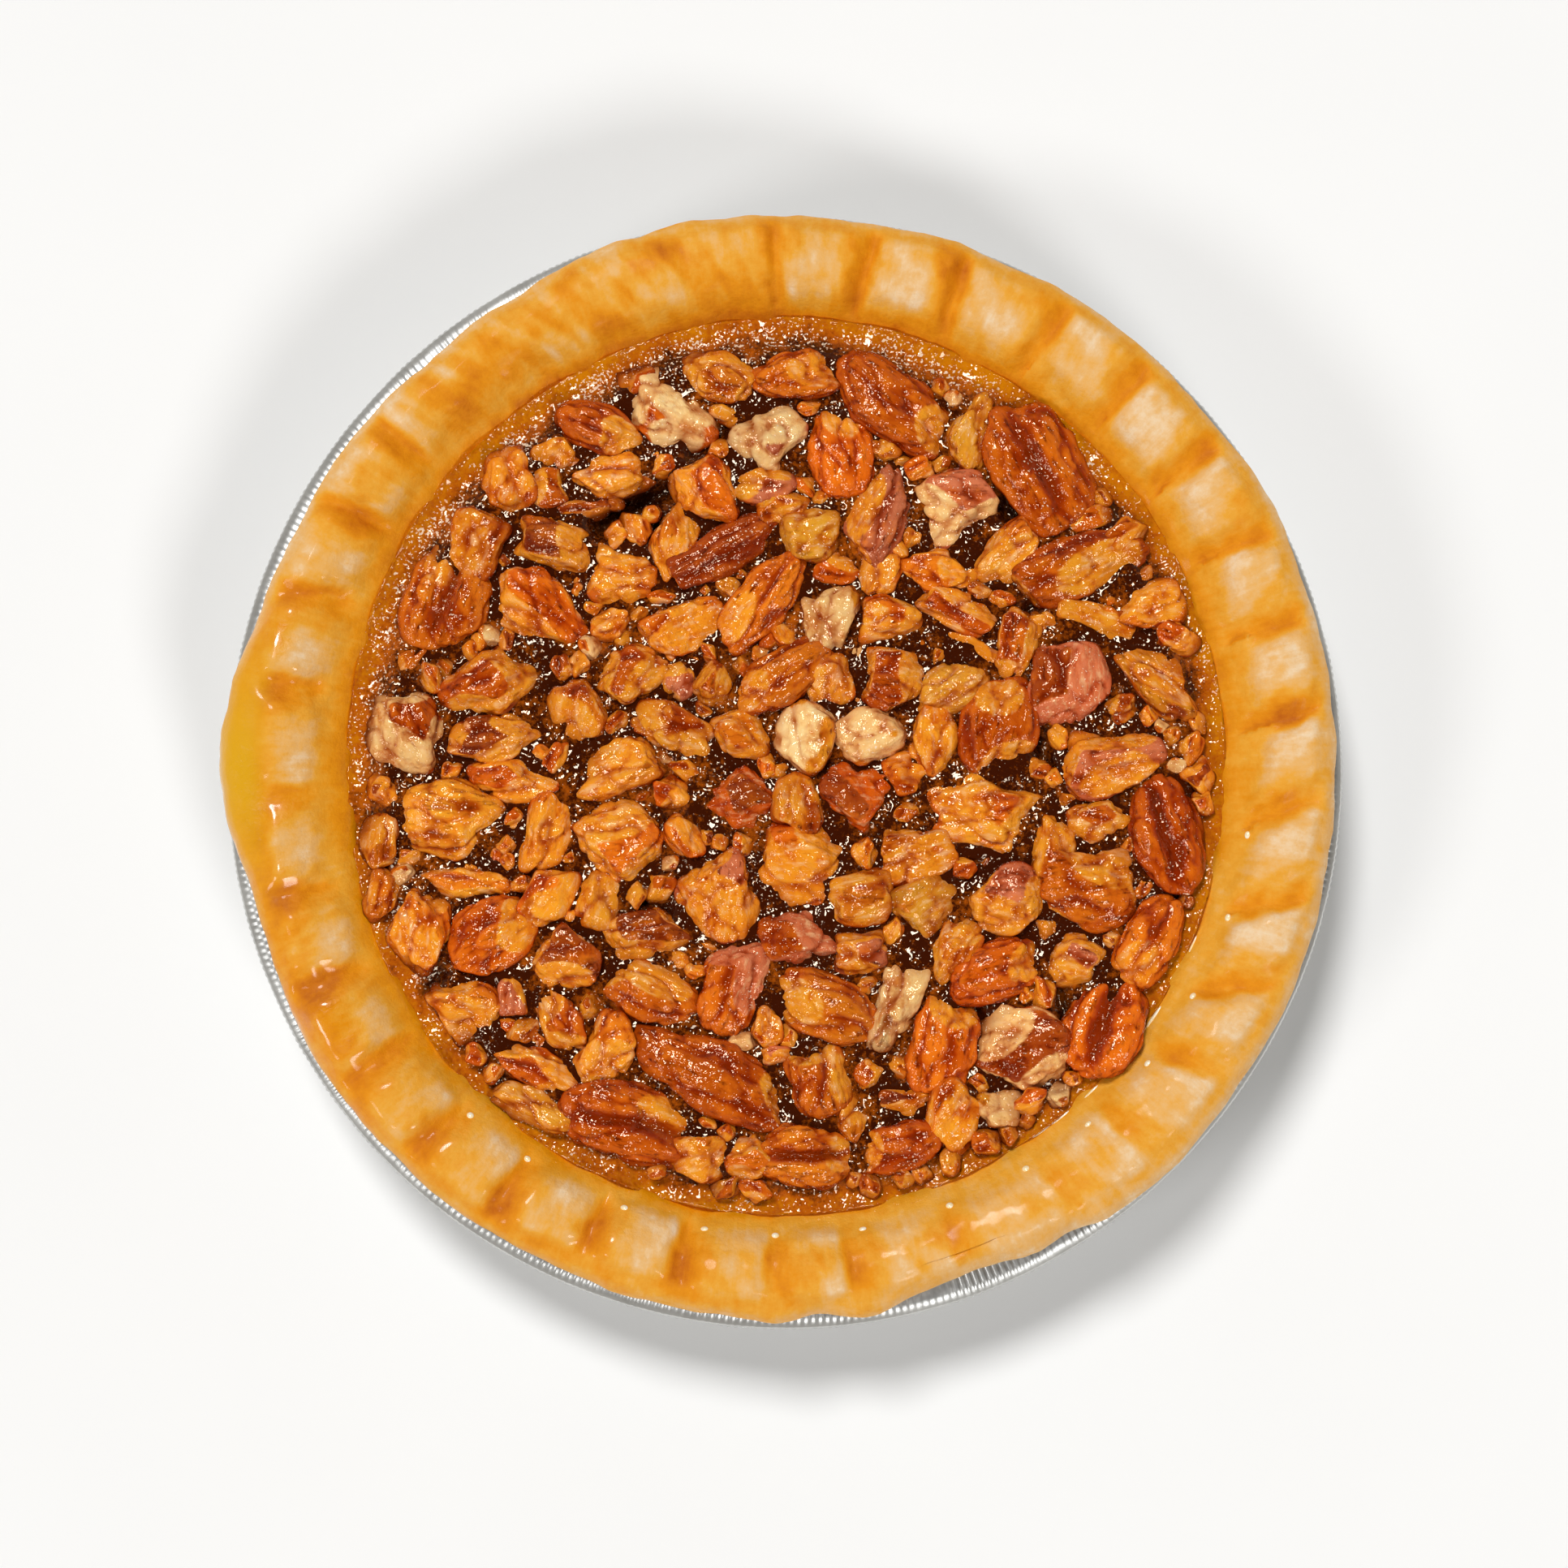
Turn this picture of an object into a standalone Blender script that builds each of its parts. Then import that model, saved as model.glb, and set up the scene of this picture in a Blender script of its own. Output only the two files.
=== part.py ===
"""A pecan pie baked in its own foil tin, at real size.

The frame: origin at the centre of the tin's flat base, +Z up, +Y towards the back of the pie.
A bearing is an angle in degrees clockwise from +Y, seen from above.
"""

import math
import random

import bmesh
import bpy
from mathutils import Euler, Matrix, Vector

MM = 0.001
MERGE = 0.01 * MM
GAP = 0.35 * MM

# The foil tin: a flat base, a flared wall, a flange and an edge curled down
FOIL = 0.5 * MM
TIN_BASE_R = 78.0 * MM
TIN_WALL_TOP_R = 97.0 * MM
TIN_RIM_R = 109.5 * MM
TIN_DEPTH = 29.0 * MM
CURL = 2.6 * MM
TIN_STEPS = 50

# The crust: a shell in the tin, with a thick fluted rim on the flange
FLUTES = 34
FIRST_FLUTE = 9.5
STEPS_PER_FLUTE = 4
FLOOR_THICKNESS = 4.3 * MM
CREST_HEIGHT = 38.6 * MM
CREST_R = 98.5 * MM
PAD_INNER_R = 90.6 * MM
LIP_HEIGHT = 2.7 * MM
LIP_TUCK = 1.7 * MM
FLUTE_DIP = 2.6 * MM

# How the hand-pressed rim changes on its way round, as (bearing, value) pairs
FLUTE_SHIFT = (
    (10, 0.0), (54, 2.0), (100, 0.0), (147, -0.3), (165, 4.3),
    (180, 2.4), (255, 2.4), (275, 4.5), (300, 5.0), (345, 0.5),
)
FLUTE_STRENGTH = (
    (10, 1.0), (122, 1.0), (137, 0.5), (155, 0.3), (180, 0.5), (195, 1.0),
    (250, 0.9), (267, 0.4), (280, 1.0), (308, 0.9), (318, 0.15), (345, 0.1),
)
LIP_R_MM = (
    (0, 108.7), (30, 109.0), (60, 108.8), (90, 108.2), (135, 108.8), (156, 106.7),
    (180, 108.2), (204, 107.4), (234, 107.6), (256, 106.8), (264, 109.2),
    (270, 110.3), (278, 109.6), (288, 106.8), (324, 106.7), (348, 109.2),
)
PAD_OUTER_R_MM = (
    (0, 104.6), (60, 104.6), (90, 103.0), (150, 101.6),
    (200, 101.2), (235, 103.4), (270, 103.0), (300, 104.2),
)

# The filling, set to a skin a little under the rim
FILLING_HEIGHT = 31.2 * MM
FILLING_CROWN = 0.6 * MM
CARAMEL_BAND = 5.0 * MM
FILLING_EDGE_R_MM = (
    (0, 88.2), (45, 87.0), (90, 85.8), (135, 86.2),
    (180, 86.8), (225, 86.8), (270, 85.0), (315, 86.6),
)

# The pecans lie in the filling up to about their middles, in pockets cut round them
BED_CENTRE = Vector((0.9, 0.5)) * MM
PECAN_SEED = 5
PECAN_TILT = math.radians(6.0)
PECAN_SHRINK = 0.7 * MM
POCKET_GROWTH = 0.35 * MM
THICKNESS = {"half": 9.4 * MM, "cup": 8.6 * MM, "chunk": 9.8 * MM, "lump": 9.2 * MM}
LIFT = {"half": 0.7 * MM, "cup": 0.7 * MM, "chunk": 0.5 * MM, "lump": 0.2 * MM}

# Where each pecan lies on the bed: x, y, length and width in millimetres, and its heading
# in degrees anticlockwise from +X. A half shows its ridged skin, a cup its grooved inner
# side, a chunk skin and broken faces, and a lump only flesh.
PECANS = {
    "half": (
        (-37, 66, 16, 9, -25), (-15.5, -61, 30, 13, -25), (20.5, 71, 23, 13, -35),
        (-5, 32, 21, 10, 50), (-1, 17, 19, 10, 35), (-12, 42, 21, 9, 28),
        (17.5, 49, 18, 11, 70), (10, 61.5, 17, 12, -80), (-58, -34, 16, 13, 35),
        (30, -55.5, 18, 12, 80), (6, -61.5, 14, 12, -80), (7.5, -48, 19, 12, -25),
        (-66.5, -11, 19, 14, -5), (40.5, -40.5, 17, 11, 17), (21, -75, 16, 9, 15),
        (57, 38.5, 24, 12, 18), (41, 7, 18, 14, 80), (-27, -45, 18, 11, -20),
        (-11, -43.5, 17, 12, 70), (1.5, 76.5, 16, 9, 5), (70.5, -35, 17, 10, 60),
    ),
    "cup": (
        (-67, 32.5, 20, 15, 70), (49, 58.5, 24, 16, -60), (74, -14, 21, 13, -75),
        (61.5, -51.5, 18, 14, 70), (3.5, -76.5, 17, 12, 0), (-31, -70, 24, 14, -15),
    ),
    "chunk": (
        (-24, 69.5, 19, 13, -45), (-4, 63.5, 14, 14, 90), (-16, 53.5, 14, 11, -50),
        (-46.5, 43.5, 17, 11, -10), (-49, 30, 18, 13, -40), (-57.5, 15, 19, 13, 25),
        (-75, 6, 16, 14, -60), (33, 50, 15, 14, 0), (55, 16, 16, 14, 90),
        (63.5, 0.5, 19, 13, 10), (39, -9.5, 22, 15, -5), (13.5, -6.5, 14, 13, 0),
        (58.5, -25, 16, 15, 0), (42.5, -27, 14, 13, 0), (45.5, -55.5, 17, 15, 0),
        (3, -19.5, 17, 15, 0), (-43.5, -38, 12, 12, 0), (-13.5, -26, 16, 15, 90),
        (-33, -16, 16, 15, 0), (21, 17, 13, 12, 0), (-11, -7, 14, 12, 0),
        (2, -34.5, 14, 11, 0), (-72, -33, 15, 12, 90),
    ),
    "lump": (
        (-33, 37, 12.5, 12, 0), (-21, 26.5, 17, 10, 20), (-34.5, -1, 17, 11, 18),
        (36, 65.5, 14, 9, 75), (73, 16.5, 18, 11, -40), (22, -45, 21, 9, 67),
        (-63.5, -48.5, 14, 12, -20),
    ),
}


def clear_scene():
    """Empty the scene of objects and of meshes that no object uses."""
    for item in list(bpy.data.objects):
        bpy.data.objects.remove(item, do_unlink=True)
    for mesh in list(bpy.data.meshes):
        if mesh.users == 0:
            bpy.data.meshes.remove(mesh)


def new_collection(name):
    """A collection linked to the scene."""
    collection = bpy.data.collections.new(name)
    bpy.context.scene.collection.children.link(collection)
    return collection


def material(name, colour, roughness, metallic=0.0, coat=0.0):
    """A Principled material in one linear colour."""
    made = bpy.data.materials.new(name)
    made.use_nodes = True
    shader = made.node_tree.nodes["Principled BSDF"]
    shader.inputs["Base Color"].default_value = (*colour, 1.0)
    shader.inputs["Roughness"].default_value = roughness
    shader.inputs["Metallic"].default_value = metallic
    shader.inputs["Coat Weight"].default_value = coat
    return made


def add_object(bm, name, collection, finish=None):
    """Put a bmesh into a new object and free it."""
    mesh = bpy.data.meshes.new(name)
    bm.to_mesh(mesh)
    bm.free()
    made = bpy.data.objects.new(name, mesh)
    collection.objects.link(made)
    if finish is not None:
        mesh.materials.append(finish)
    return made


def around(pairs, bearing):
    """The value at a bearing, eased between the (bearing, value) pairs of a closed ring."""
    bearing = bearing % 360.0
    before = [pair for pair in pairs if pair[0] <= bearing]
    after = [pair for pair in pairs if pair[0] > bearing]
    low = before[-1] if before else (pairs[-1][0] - 360.0, pairs[-1][1])
    high = after[0] if after else (pairs[0][0] + 360.0, pairs[0][1])
    share = (bearing - low[0]) / (high[0] - low[0])
    share = share * share * (3.0 - 2.0 * share)
    return low[1] + (high[1] - low[1]) * share


def flute_bearing(turn):
    """The bearing of a place on the rim, counted in flutes, where whole numbers are valleys."""
    nominal = FIRST_FLUTE + 360.0 * turn / FLUTES
    return nominal + around(FLUTE_SHIFT, nominal)


def at_bearing(bearing, radius, height):
    """The point at a bearing, a radius and a height."""
    angle = math.radians(bearing)
    return Vector((radius * math.sin(angle), radius * math.cos(angle), height))


def turned(profile, steps):
    """A closed bmesh spun about Z from (radius, height) points that start and end on the axis.

    Each vertex keeps the number of its profile point and of its step in two integer layers.
    """
    bm = bmesh.new()
    ring_layer = bm.verts.layers.int.new("ring")
    step_layer = bm.verts.layers.int.new("step")
    chain = []
    for number, (radius, height) in enumerate(profile):
        vert = bm.verts.new((0.0, radius, height))
        vert[ring_layer] = number
        chain.append(vert)
    edges = [bm.edges.new(pair) for pair in zip(chain, chain[1:])]
    bmesh.ops.spin(
        bm, geom=chain + edges, cent=(0.0, 0.0, 0.0), axis=(0.0, 0.0, -1.0),
        angle=math.tau, steps=steps, use_merge=True,
    )
    bmesh.ops.remove_doubles(bm, verts=bm.verts, dist=MERGE)
    bmesh.ops.recalc_face_normals(bm, faces=bm.faces)
    for vert in bm.verts:
        turn = math.atan2(vert.co.x, vert.co.y) / math.tau
        vert[step_layer] = round(turn * steps) % steps
    return bm


def make_tin(collection):
    """The foil tin: a turned skin given its thickness on the inner side."""
    bottom = TIN_DEPTH - CURL
    profile = (
        (TIN_RIM_R - FOIL - 0.15 * CURL, bottom),
        (TIN_RIM_R - FOIL, bottom + 0.5 * CURL),
        (TIN_RIM_R - FOIL - 0.5 * CURL, TIN_DEPTH),
        (TIN_WALL_TOP_R + 0.7 * MM, TIN_DEPTH),
        (TIN_WALL_TOP_R - 0.3 * MM, TIN_DEPTH - 1.0 * MM),
        (TIN_BASE_R, 0.8 * MM),
        (TIN_BASE_R - 1.4 * MM, 0.0),
        (0.0, 0.0),
    )
    mesh = bpy.data.meshes.new("tin")
    mesh.from_pydata(
        [(radius, 0.0, height) for radius, height in profile],
        [(number, number + 1) for number in range(len(profile) - 1)], [],
    )
    tin = bpy.data.objects.new("tin", mesh)
    collection.objects.link(tin)
    mesh.materials.append(material("aluminium_foil", (0.80, 0.80, 0.79), 0.32, metallic=1.0))
    screw = tin.modifiers.new("turn", "SCREW")
    screw.steps = TIN_STEPS
    screw.render_steps = TIN_STEPS
    screw.use_merge_vertices = True
    screw.merge_threshold = MERGE
    skin = tin.modifiers.new("foil", "SOLIDIFY")
    skin.thickness = FOIL
    skin.offset = -1.0
    skin.use_even_offset = True
    return tin


def crust_section(turn):
    """The crust's cross-section as (radius, height) points, from under its middle round to its floor."""
    bearing = flute_bearing(turn)
    valley = max(0.0, 1.0 - abs((turn + 0.5) % 1.0 - 0.5) / 0.25)
    dip = FLUTE_DIP * around(FLUTE_STRENGTH, bearing) * valley
    lip = around(LIP_R_MM, bearing) * MM
    pad = around(PAD_OUTER_R_MM, bearing) * MM
    edge = around(FILLING_EDGE_R_MM, bearing) * MM + GAP
    underside = FOIL + GAP
    flange = TIN_DEPTH + FOIL + GAP
    return (
        (0.0, underside),
        (TIN_BASE_R - 2.1 * MM, underside),
        (TIN_WALL_TOP_R - 0.6 * MM, flange),
        (lip - LIP_TUCK, flange),
        (lip, flange + LIP_HEIGHT),
        (pad + 1.2 * MM, CREST_HEIGHT - 2.0 * MM - 0.5 * dip),
        (CREST_R, CREST_HEIGHT - dip),
        (PAD_INNER_R, CREST_HEIGHT - 1.3 * MM - 0.8 * dip),
        (edge, FILLING_HEIGHT),
        (TIN_BASE_R - 5.2 * MM, underside + FLOOR_THICKNESS),
        (0.0, underside + FLOOR_THICKNESS),
    )


def make_crust(collection):
    """The crust, spun from one cross-section and then moved ring by ring to each flute's own."""
    steps = FLUTES * STEPS_PER_FLUTE
    bm = turned(crust_section(0.0), steps)
    ring_layer = bm.verts.layers.int["ring"]
    step_layer = bm.verts.layers.int["step"]
    for vert in bm.verts:
        turn = vert[step_layer] / STEPS_PER_FLUTE
        radius, height = crust_section(turn)[vert[ring_layer]]
        vert.co = at_bearing(flute_bearing(turn), radius, height)
    return add_object(bm, "crust", collection, material("baked_pastry", (0.72, 0.42, 0.13), 0.5, coat=0.3))


def make_filling(collection):
    """The filling up to its skin, with a narrow sloped band next to the crust."""
    steps = FLUTES * 2
    floor = FOIL + 2.0 * GAP + FLOOR_THICKNESS
    crown = FILLING_HEIGHT + FILLING_CROWN
    floor_r = TIN_BASE_R - 5.7 * MM
    band_r = 80.0 * MM
    bm = turned(((0.0, floor), (floor_r, floor), (band_r, FILLING_HEIGHT), (band_r, crown), (0.0, crown)), steps)
    ring_layer = bm.verts.layers.int["ring"]
    step_layer = bm.verts.layers.int["step"]
    for vert in bm.verts:
        bearing = flute_bearing(vert[step_layer] / 2)
        edge = around(FILLING_EDGE_R_MM, bearing) * MM
        radius = {1: floor_r, 2: edge, 3: edge - CARAMEL_BAND}.get(vert[ring_layer], 0.0)
        vert.co = at_bearing(bearing, radius, vert.co.z)
    poles = [vert for vert in bm.verts if vert[ring_layer] in (0, 4)]
    bmesh.ops.dissolve_verts(bm, verts=poles)
    return add_object(bm, "filling", collection, material("pecan_filling", (0.14, 0.05, 0.02), 0.25, coat=0.8))


def shape_half(bm, rng):
    """Half a kernel, skin up: a long dome with blunt ends, one fuller than the other."""
    bmesh.ops.create_uvsphere(bm, u_segments=8, v_segments=4, radius=1.0)
    bmesh.ops.rotate(bm, verts=bm.verts, matrix=Matrix.Rotation(math.pi / 2.0, 3, "Y"))
    fuller = rng.uniform(0.05, 0.14)
    for vert in bm.verts:
        across = 1.0 + fuller * vert.co.x + 0.14 * abs(vert.co.x)
        vert.co.y *= across
        vert.co.z *= across


def shape_cup(bm, rng):
    """Half a kernel, inner side up: as the skin side, with a groove along the top."""
    shape_half(bm, rng)
    for vert in bm.verts:
        if vert.co.z > 0.5 and abs(vert.co.y) < 0.1:
            vert.co.z *= 0.55


def shape_chunk(bm, rng):
    """A broken piece: a block with worn edges, its top and ends cut at their own slants."""
    bmesh.ops.create_cube(bm, size=2.0)
    lean = rng.uniform(-0.22, 0.22)
    taper = rng.uniform(0.05, 0.25)
    for vert in bm.verts:
        vert.co.y *= 1.0 - taper * (0.5 + 0.5 * vert.co.x)
        vert.co.x += lean * vert.co.y * vert.co.z
        vert.co.z *= 1.0 - 0.2 * rng.random()
    bmesh.ops.bevel(
        bm, geom=bm.verts[:] + bm.edges[:], offset=0.55, offset_type="OFFSET",
        segments=1, profile=0.5, affect="EDGES", material=-1,
    )


def shape_lump(bm, rng):
    """A bare piece of flesh, rounded all over and a little square."""
    bmesh.ops.create_uvsphere(bm, u_segments=8, v_segments=4, radius=1.0)
    bmesh.ops.rotate(bm, verts=bm.verts, matrix=Matrix.Rotation(math.pi / 2.0, 3, "Y"))
    for vert in bm.verts:
        swell = 1.0 + 0.22 * abs(vert.co.x) + rng.uniform(-0.06, 0.06)
        vert.co.y *= swell
        vert.co.z *= swell


SHAPES = {"half": shape_half, "cup": shape_cup, "chunk": shape_chunk, "lump": shape_lump}


def fill_size(bm, length, width, thickness):
    """Scale and centre a shape to its length, width and thickness."""
    spans = [[vert.co[axis] for vert in bm.verts] for axis in range(3)]
    for axis, size in enumerate((length, width, thickness)):
        low, high = min(spans[axis]), max(spans[axis])
        for vert in bm.verts:
            vert.co[axis] = (vert.co[axis] - (low + high) / 2.0) * size / (high - low)


def grown(bm, distance):
    """A copy of a shape with every face moved out by a distance."""
    larger = bm.copy()
    larger.normal_update()
    moves = [vert.normal * vert.calc_shell_factor() * distance for vert in larger.verts]
    for vert, move in zip(larger.verts, moves):
        vert.co += move
    return larger


def make_pecan(kind, number, row, collection, cutters, finish):
    """One pecan piece on the bed, and the cutter of the pocket that it lies in."""
    x, y, length, width, heading = row
    rng = random.Random(PECAN_SEED * 1000 + 100 * sorted(PECANS).index(kind) + number)
    bm = bmesh.new()
    SHAPES[kind](bm, rng)
    fill_size(bm, length * MM - PECAN_SHRINK, width * MM - PECAN_SHRINK, THICKNESS[kind])
    bmesh.ops.triangulate(bm, faces=bm.faces)
    tilt = (rng.uniform(-PECAN_TILT, PECAN_TILT), rng.uniform(-PECAN_TILT, PECAN_TILT), math.radians(heading))
    lift = LIFT[kind] + rng.uniform(-0.5, 0.7) * MM
    place = Vector((x * MM + BED_CENTRE.x, y * MM + BED_CENTRE.y, FILLING_HEIGHT + FILLING_CROWN + lift))
    pocket = grown(bm, POCKET_GROWTH)
    name = f"pecan_{kind}_{number:02d}"
    cutter = add_object(pocket, f"pocket_{kind}_{number:02d}", cutters)
    pecan = add_object(bm, name, collection, finish)
    for item in (pecan, cutter):
        item.location = place
        item.rotation_euler = Euler(tilt)
    pecan.data.shade_smooth()
    cutter.hide_render = True
    cutter.display_type = "WIRE"
    return cutter


def make_pecans(collection, cutters):
    """Every pecan piece, with its pocket's cutter."""
    finishes = {
        "half": material("pecan_skin", (0.45, 0.13, 0.03), 0.3, coat=0.8),
        "cup": material("pecan_inner_skin", (0.50, 0.18, 0.04), 0.3, coat=0.8),
        "chunk": material("pecan_broken", (0.42, 0.14, 0.04), 0.3, coat=0.8),
        "lump": material("pecan_flesh", (0.68, 0.38, 0.08), 0.3, coat=0.8),
    }
    for kind, rows in PECANS.items():
        for number, row in enumerate(rows, start=1):
            make_pecan(kind, number, row, collection, cutters, finishes[kind])


def cut_pockets(filling, cutters):
    """Cut every pocket out of the filling."""
    cut = filling.modifiers.new("pockets", "BOOLEAN")
    cut.operation = "DIFFERENCE"
    cut.operand_type = "COLLECTION"
    cut.collection = cutters
    cut.solver = "EXACT"


def main():
    """Build the pie."""
    clear_scene()
    parts = new_collection("pecan_pie")
    cutters = new_collection("pecan_pie_cutters")
    tin = make_tin(parts)
    crust = make_crust(parts)
    filling = make_filling(parts)
    make_pecans(parts, cutters)
    cut_pockets(filling, cutters)
    for item in (tin, crust, filling):
        item.data.shade_smooth()


main()
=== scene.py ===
"""The finish of a pecan pie baked in its own foil tin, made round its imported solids.

Every piece is built in place in the row frame: origin at the middle of the tin's base, metres,
+Z up. A bearing is an angle in degrees clockwise from +Y, seen from above.
"""

import math
from collections import namedtuple

import bmesh
import bpy
import numpy as np
from mathutils import Matrix, Vector


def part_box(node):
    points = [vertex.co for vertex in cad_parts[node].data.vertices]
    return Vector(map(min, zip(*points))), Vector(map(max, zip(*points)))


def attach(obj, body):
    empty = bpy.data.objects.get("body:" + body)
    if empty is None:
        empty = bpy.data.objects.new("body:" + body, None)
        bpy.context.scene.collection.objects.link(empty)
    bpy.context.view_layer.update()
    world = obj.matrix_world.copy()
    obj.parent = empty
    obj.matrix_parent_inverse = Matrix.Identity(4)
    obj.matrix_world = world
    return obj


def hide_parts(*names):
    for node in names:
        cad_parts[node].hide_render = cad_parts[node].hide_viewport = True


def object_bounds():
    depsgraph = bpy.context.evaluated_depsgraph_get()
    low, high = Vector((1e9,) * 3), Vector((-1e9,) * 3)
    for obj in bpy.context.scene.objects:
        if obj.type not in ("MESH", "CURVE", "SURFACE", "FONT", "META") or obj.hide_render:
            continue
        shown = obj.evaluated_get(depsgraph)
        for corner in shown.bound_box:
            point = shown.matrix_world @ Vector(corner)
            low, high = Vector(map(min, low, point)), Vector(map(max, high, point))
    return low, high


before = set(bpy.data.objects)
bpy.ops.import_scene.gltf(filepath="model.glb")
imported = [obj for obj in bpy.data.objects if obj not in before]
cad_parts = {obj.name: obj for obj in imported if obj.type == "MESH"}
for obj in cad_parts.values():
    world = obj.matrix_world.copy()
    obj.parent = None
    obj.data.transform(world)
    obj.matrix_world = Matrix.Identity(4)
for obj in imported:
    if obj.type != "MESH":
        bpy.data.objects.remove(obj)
CAD_BOX = [list(corner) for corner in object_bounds()]

bl_info = {
    "name": "Pecan Pie in a Foil Tin",
    "version": (1, 0, 0),
    "blender": (4, 5, 0),
    "location": "3D View > Sidebar > Pie",
    "description": "Bakes a pecan pie: foil tin, fluted crust, caramel filling and glazed pecan pieces",
    "category": "Add Mesh",
}

MM = 0.001

# ---------------------------------------------------------------------------------------------
# Lists given one by one: where the hand-made crust and the scattered pecans differ from a rule
# ---------------------------------------------------------------------------------------------

# Darker baked places on the rim: bearing, radius and size in millimetres, and strength
BROWN_SPOTS = (
    (307, 99, 6, 0.16), (302, 98, 8, 0.10), (289.5, 101, 4, 0.18), (285, 104, 4, 0.12),
    (241, 102, 6, 0.12), (245, 99, 4, 0.16), (213.5, 101, 4, 0.24), (191.5, 99.5, 3.5, 0.2),
    (203, 97, 3.5, 0.18), (162, 96.6, 3.5, 0.26), (172, 100, 3, 0.14), (18, 103.5, 3.5, 0.20),
    (60.5, 103, 3, 0.18), (84, 98, 3.5, 0.26), (94, 97, 3.5, 0.16), (151, 99, 3, 0.16),
    (318, 97, 6, 0.12), (326, 96, 6, 0.08), (351, 92, 7, 0.2), (357, 90, 6, 0.12),
    (223, 99, 4, 0.12), (33, 100, 3, 0.14), (256, 100, 4, 0.16), (299, 96, 4, 0.14),
)

# How many degrees each flute takes to fall on its clockwise side, as bearing and degrees
FLUTE_FALL = ((0, 1.7), (25, 2.2), (45, 4.0), (90, 4.4), (130, 4.0), (180, 3.0), (250, 3.4), (300, 2.6))

# How far out the flutes reach, as bearing and radius in millimetres
FLUTE_REACH_MM = (
    (0, 106.0), (60, 106.0), (90, 105.4), (140, 104.8), (162, 103.6), (175, 104.6), (190, 103.4),
    (205, 103.4), (215, 105.4), (245, 105.4), (258, 102.5), (268, 101.4), (279, 103.4), (286, 105.2),
)

# Places on the rim wet with syrup: bearing, radius and size in millimetres, and strength
WET_SPOTS = (
    (241, 101, 9, 1.0), (284, 101, 9, 1.0), (262, 101, 12, 0.8), (224, 94, 8, 0.7),
    (270, 108, 9, 0.7), (200, 95, 9, 0.5),
)

# Pale beads of syrup on the front of the rim, painted highlights where it shines, as drops between the flutes
# and dashes along the filling:
# bearing, radius, half length and half width in millimetres
GLINT_DROP_BEARINGS = (98.4, 109, 119.7, 129.5, 139.7, 149.3, 159.7, 170.2, 181, 190, 200, 213, 221.5)
GLINT_BEADS = tuple((bearing, 91.5, 0.75, 0.6) for bearing in GLINT_DROP_BEARINGS) + (
    (113.6, 87.2, 1.8, 0.28), (124.3, 87.3, 2.6, 0.3), (127.6, 87.3, 2.5, 0.28), (136.7, 87.4, 1.8, 0.26),
    (141.7, 87.3, 2.4, 0.3), (145.0, 87.3, 2.2, 0.26), (159.2, 86.6, 1.8, 0.3), (169.9, 87.1, 1.4, 0.28),
)

# How much browner (above zero) or paler the rim is than its flutes make it, partly from baking and partly
# painted light and shade, with a painted highlight along the front edge of the filling: a radius in
# millimetres, then one value for every 30 degrees of bearing
RIM_BAKE_AND_LIGHT = (
    (88.5, (0.06, 0.04, 0.00, -0.02, -0.13, -0.07, 0.00, 0.04, 0.05, 0.00, 0.00, 0.00)),
    (91.5, (0.05, 0.06, -0.04, -0.02, -0.04, -0.05, -0.09, -0.03, 0.03, -0.03, 0.01, 0.00)),
    (95.5, (0.04, -0.10, -0.19, -0.09, 0.05, 0.02, 0.11, 0.03, 0.05, 0.01, 0.04, 0.03)),
    (99.5, (0.06, -0.08, -0.08, -0.10, -0.10, -0.02, 0.10, 0.07, 0.20, 0.14, -0.03, -0.02)),
    (103.3, (0.10, 0.06, -0.03, -0.11, -0.11, -0.15, -0.02, 0.09, 0.17, 0.19, -0.09, -0.01)),
)

# Deep gaps in the bed of pecans, darkened with painted shade: from x, y to x, y in millimetres, depth and
# half width
HOLLOWS = (
    (-37, 47, -24, 54, 3.6, 2.6), (-26, 47, -24, 41, 2.4, 2.0), (41, 52, 44, 49, 2.4, 1.8),
    (-19, 61, -13, 66, 1.6, 1.6), (48, 6, 51, -1, 2.0, 1.8), (-50, -24, -52, -30, 2.2, 2.0),
    (-28, -27, -24, -29, 1.8, 1.8), (53, -45, 54, -50, 2.2, 1.6), (36, -48, 38, -52, 1.8, 1.6),
    (-57, 24, -58, 22, 1.6, 1.6), (-70, -44, -68, -41, 1.8, 1.6), (47, 30, 51, 34, 1.8, 1.6),
)

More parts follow.
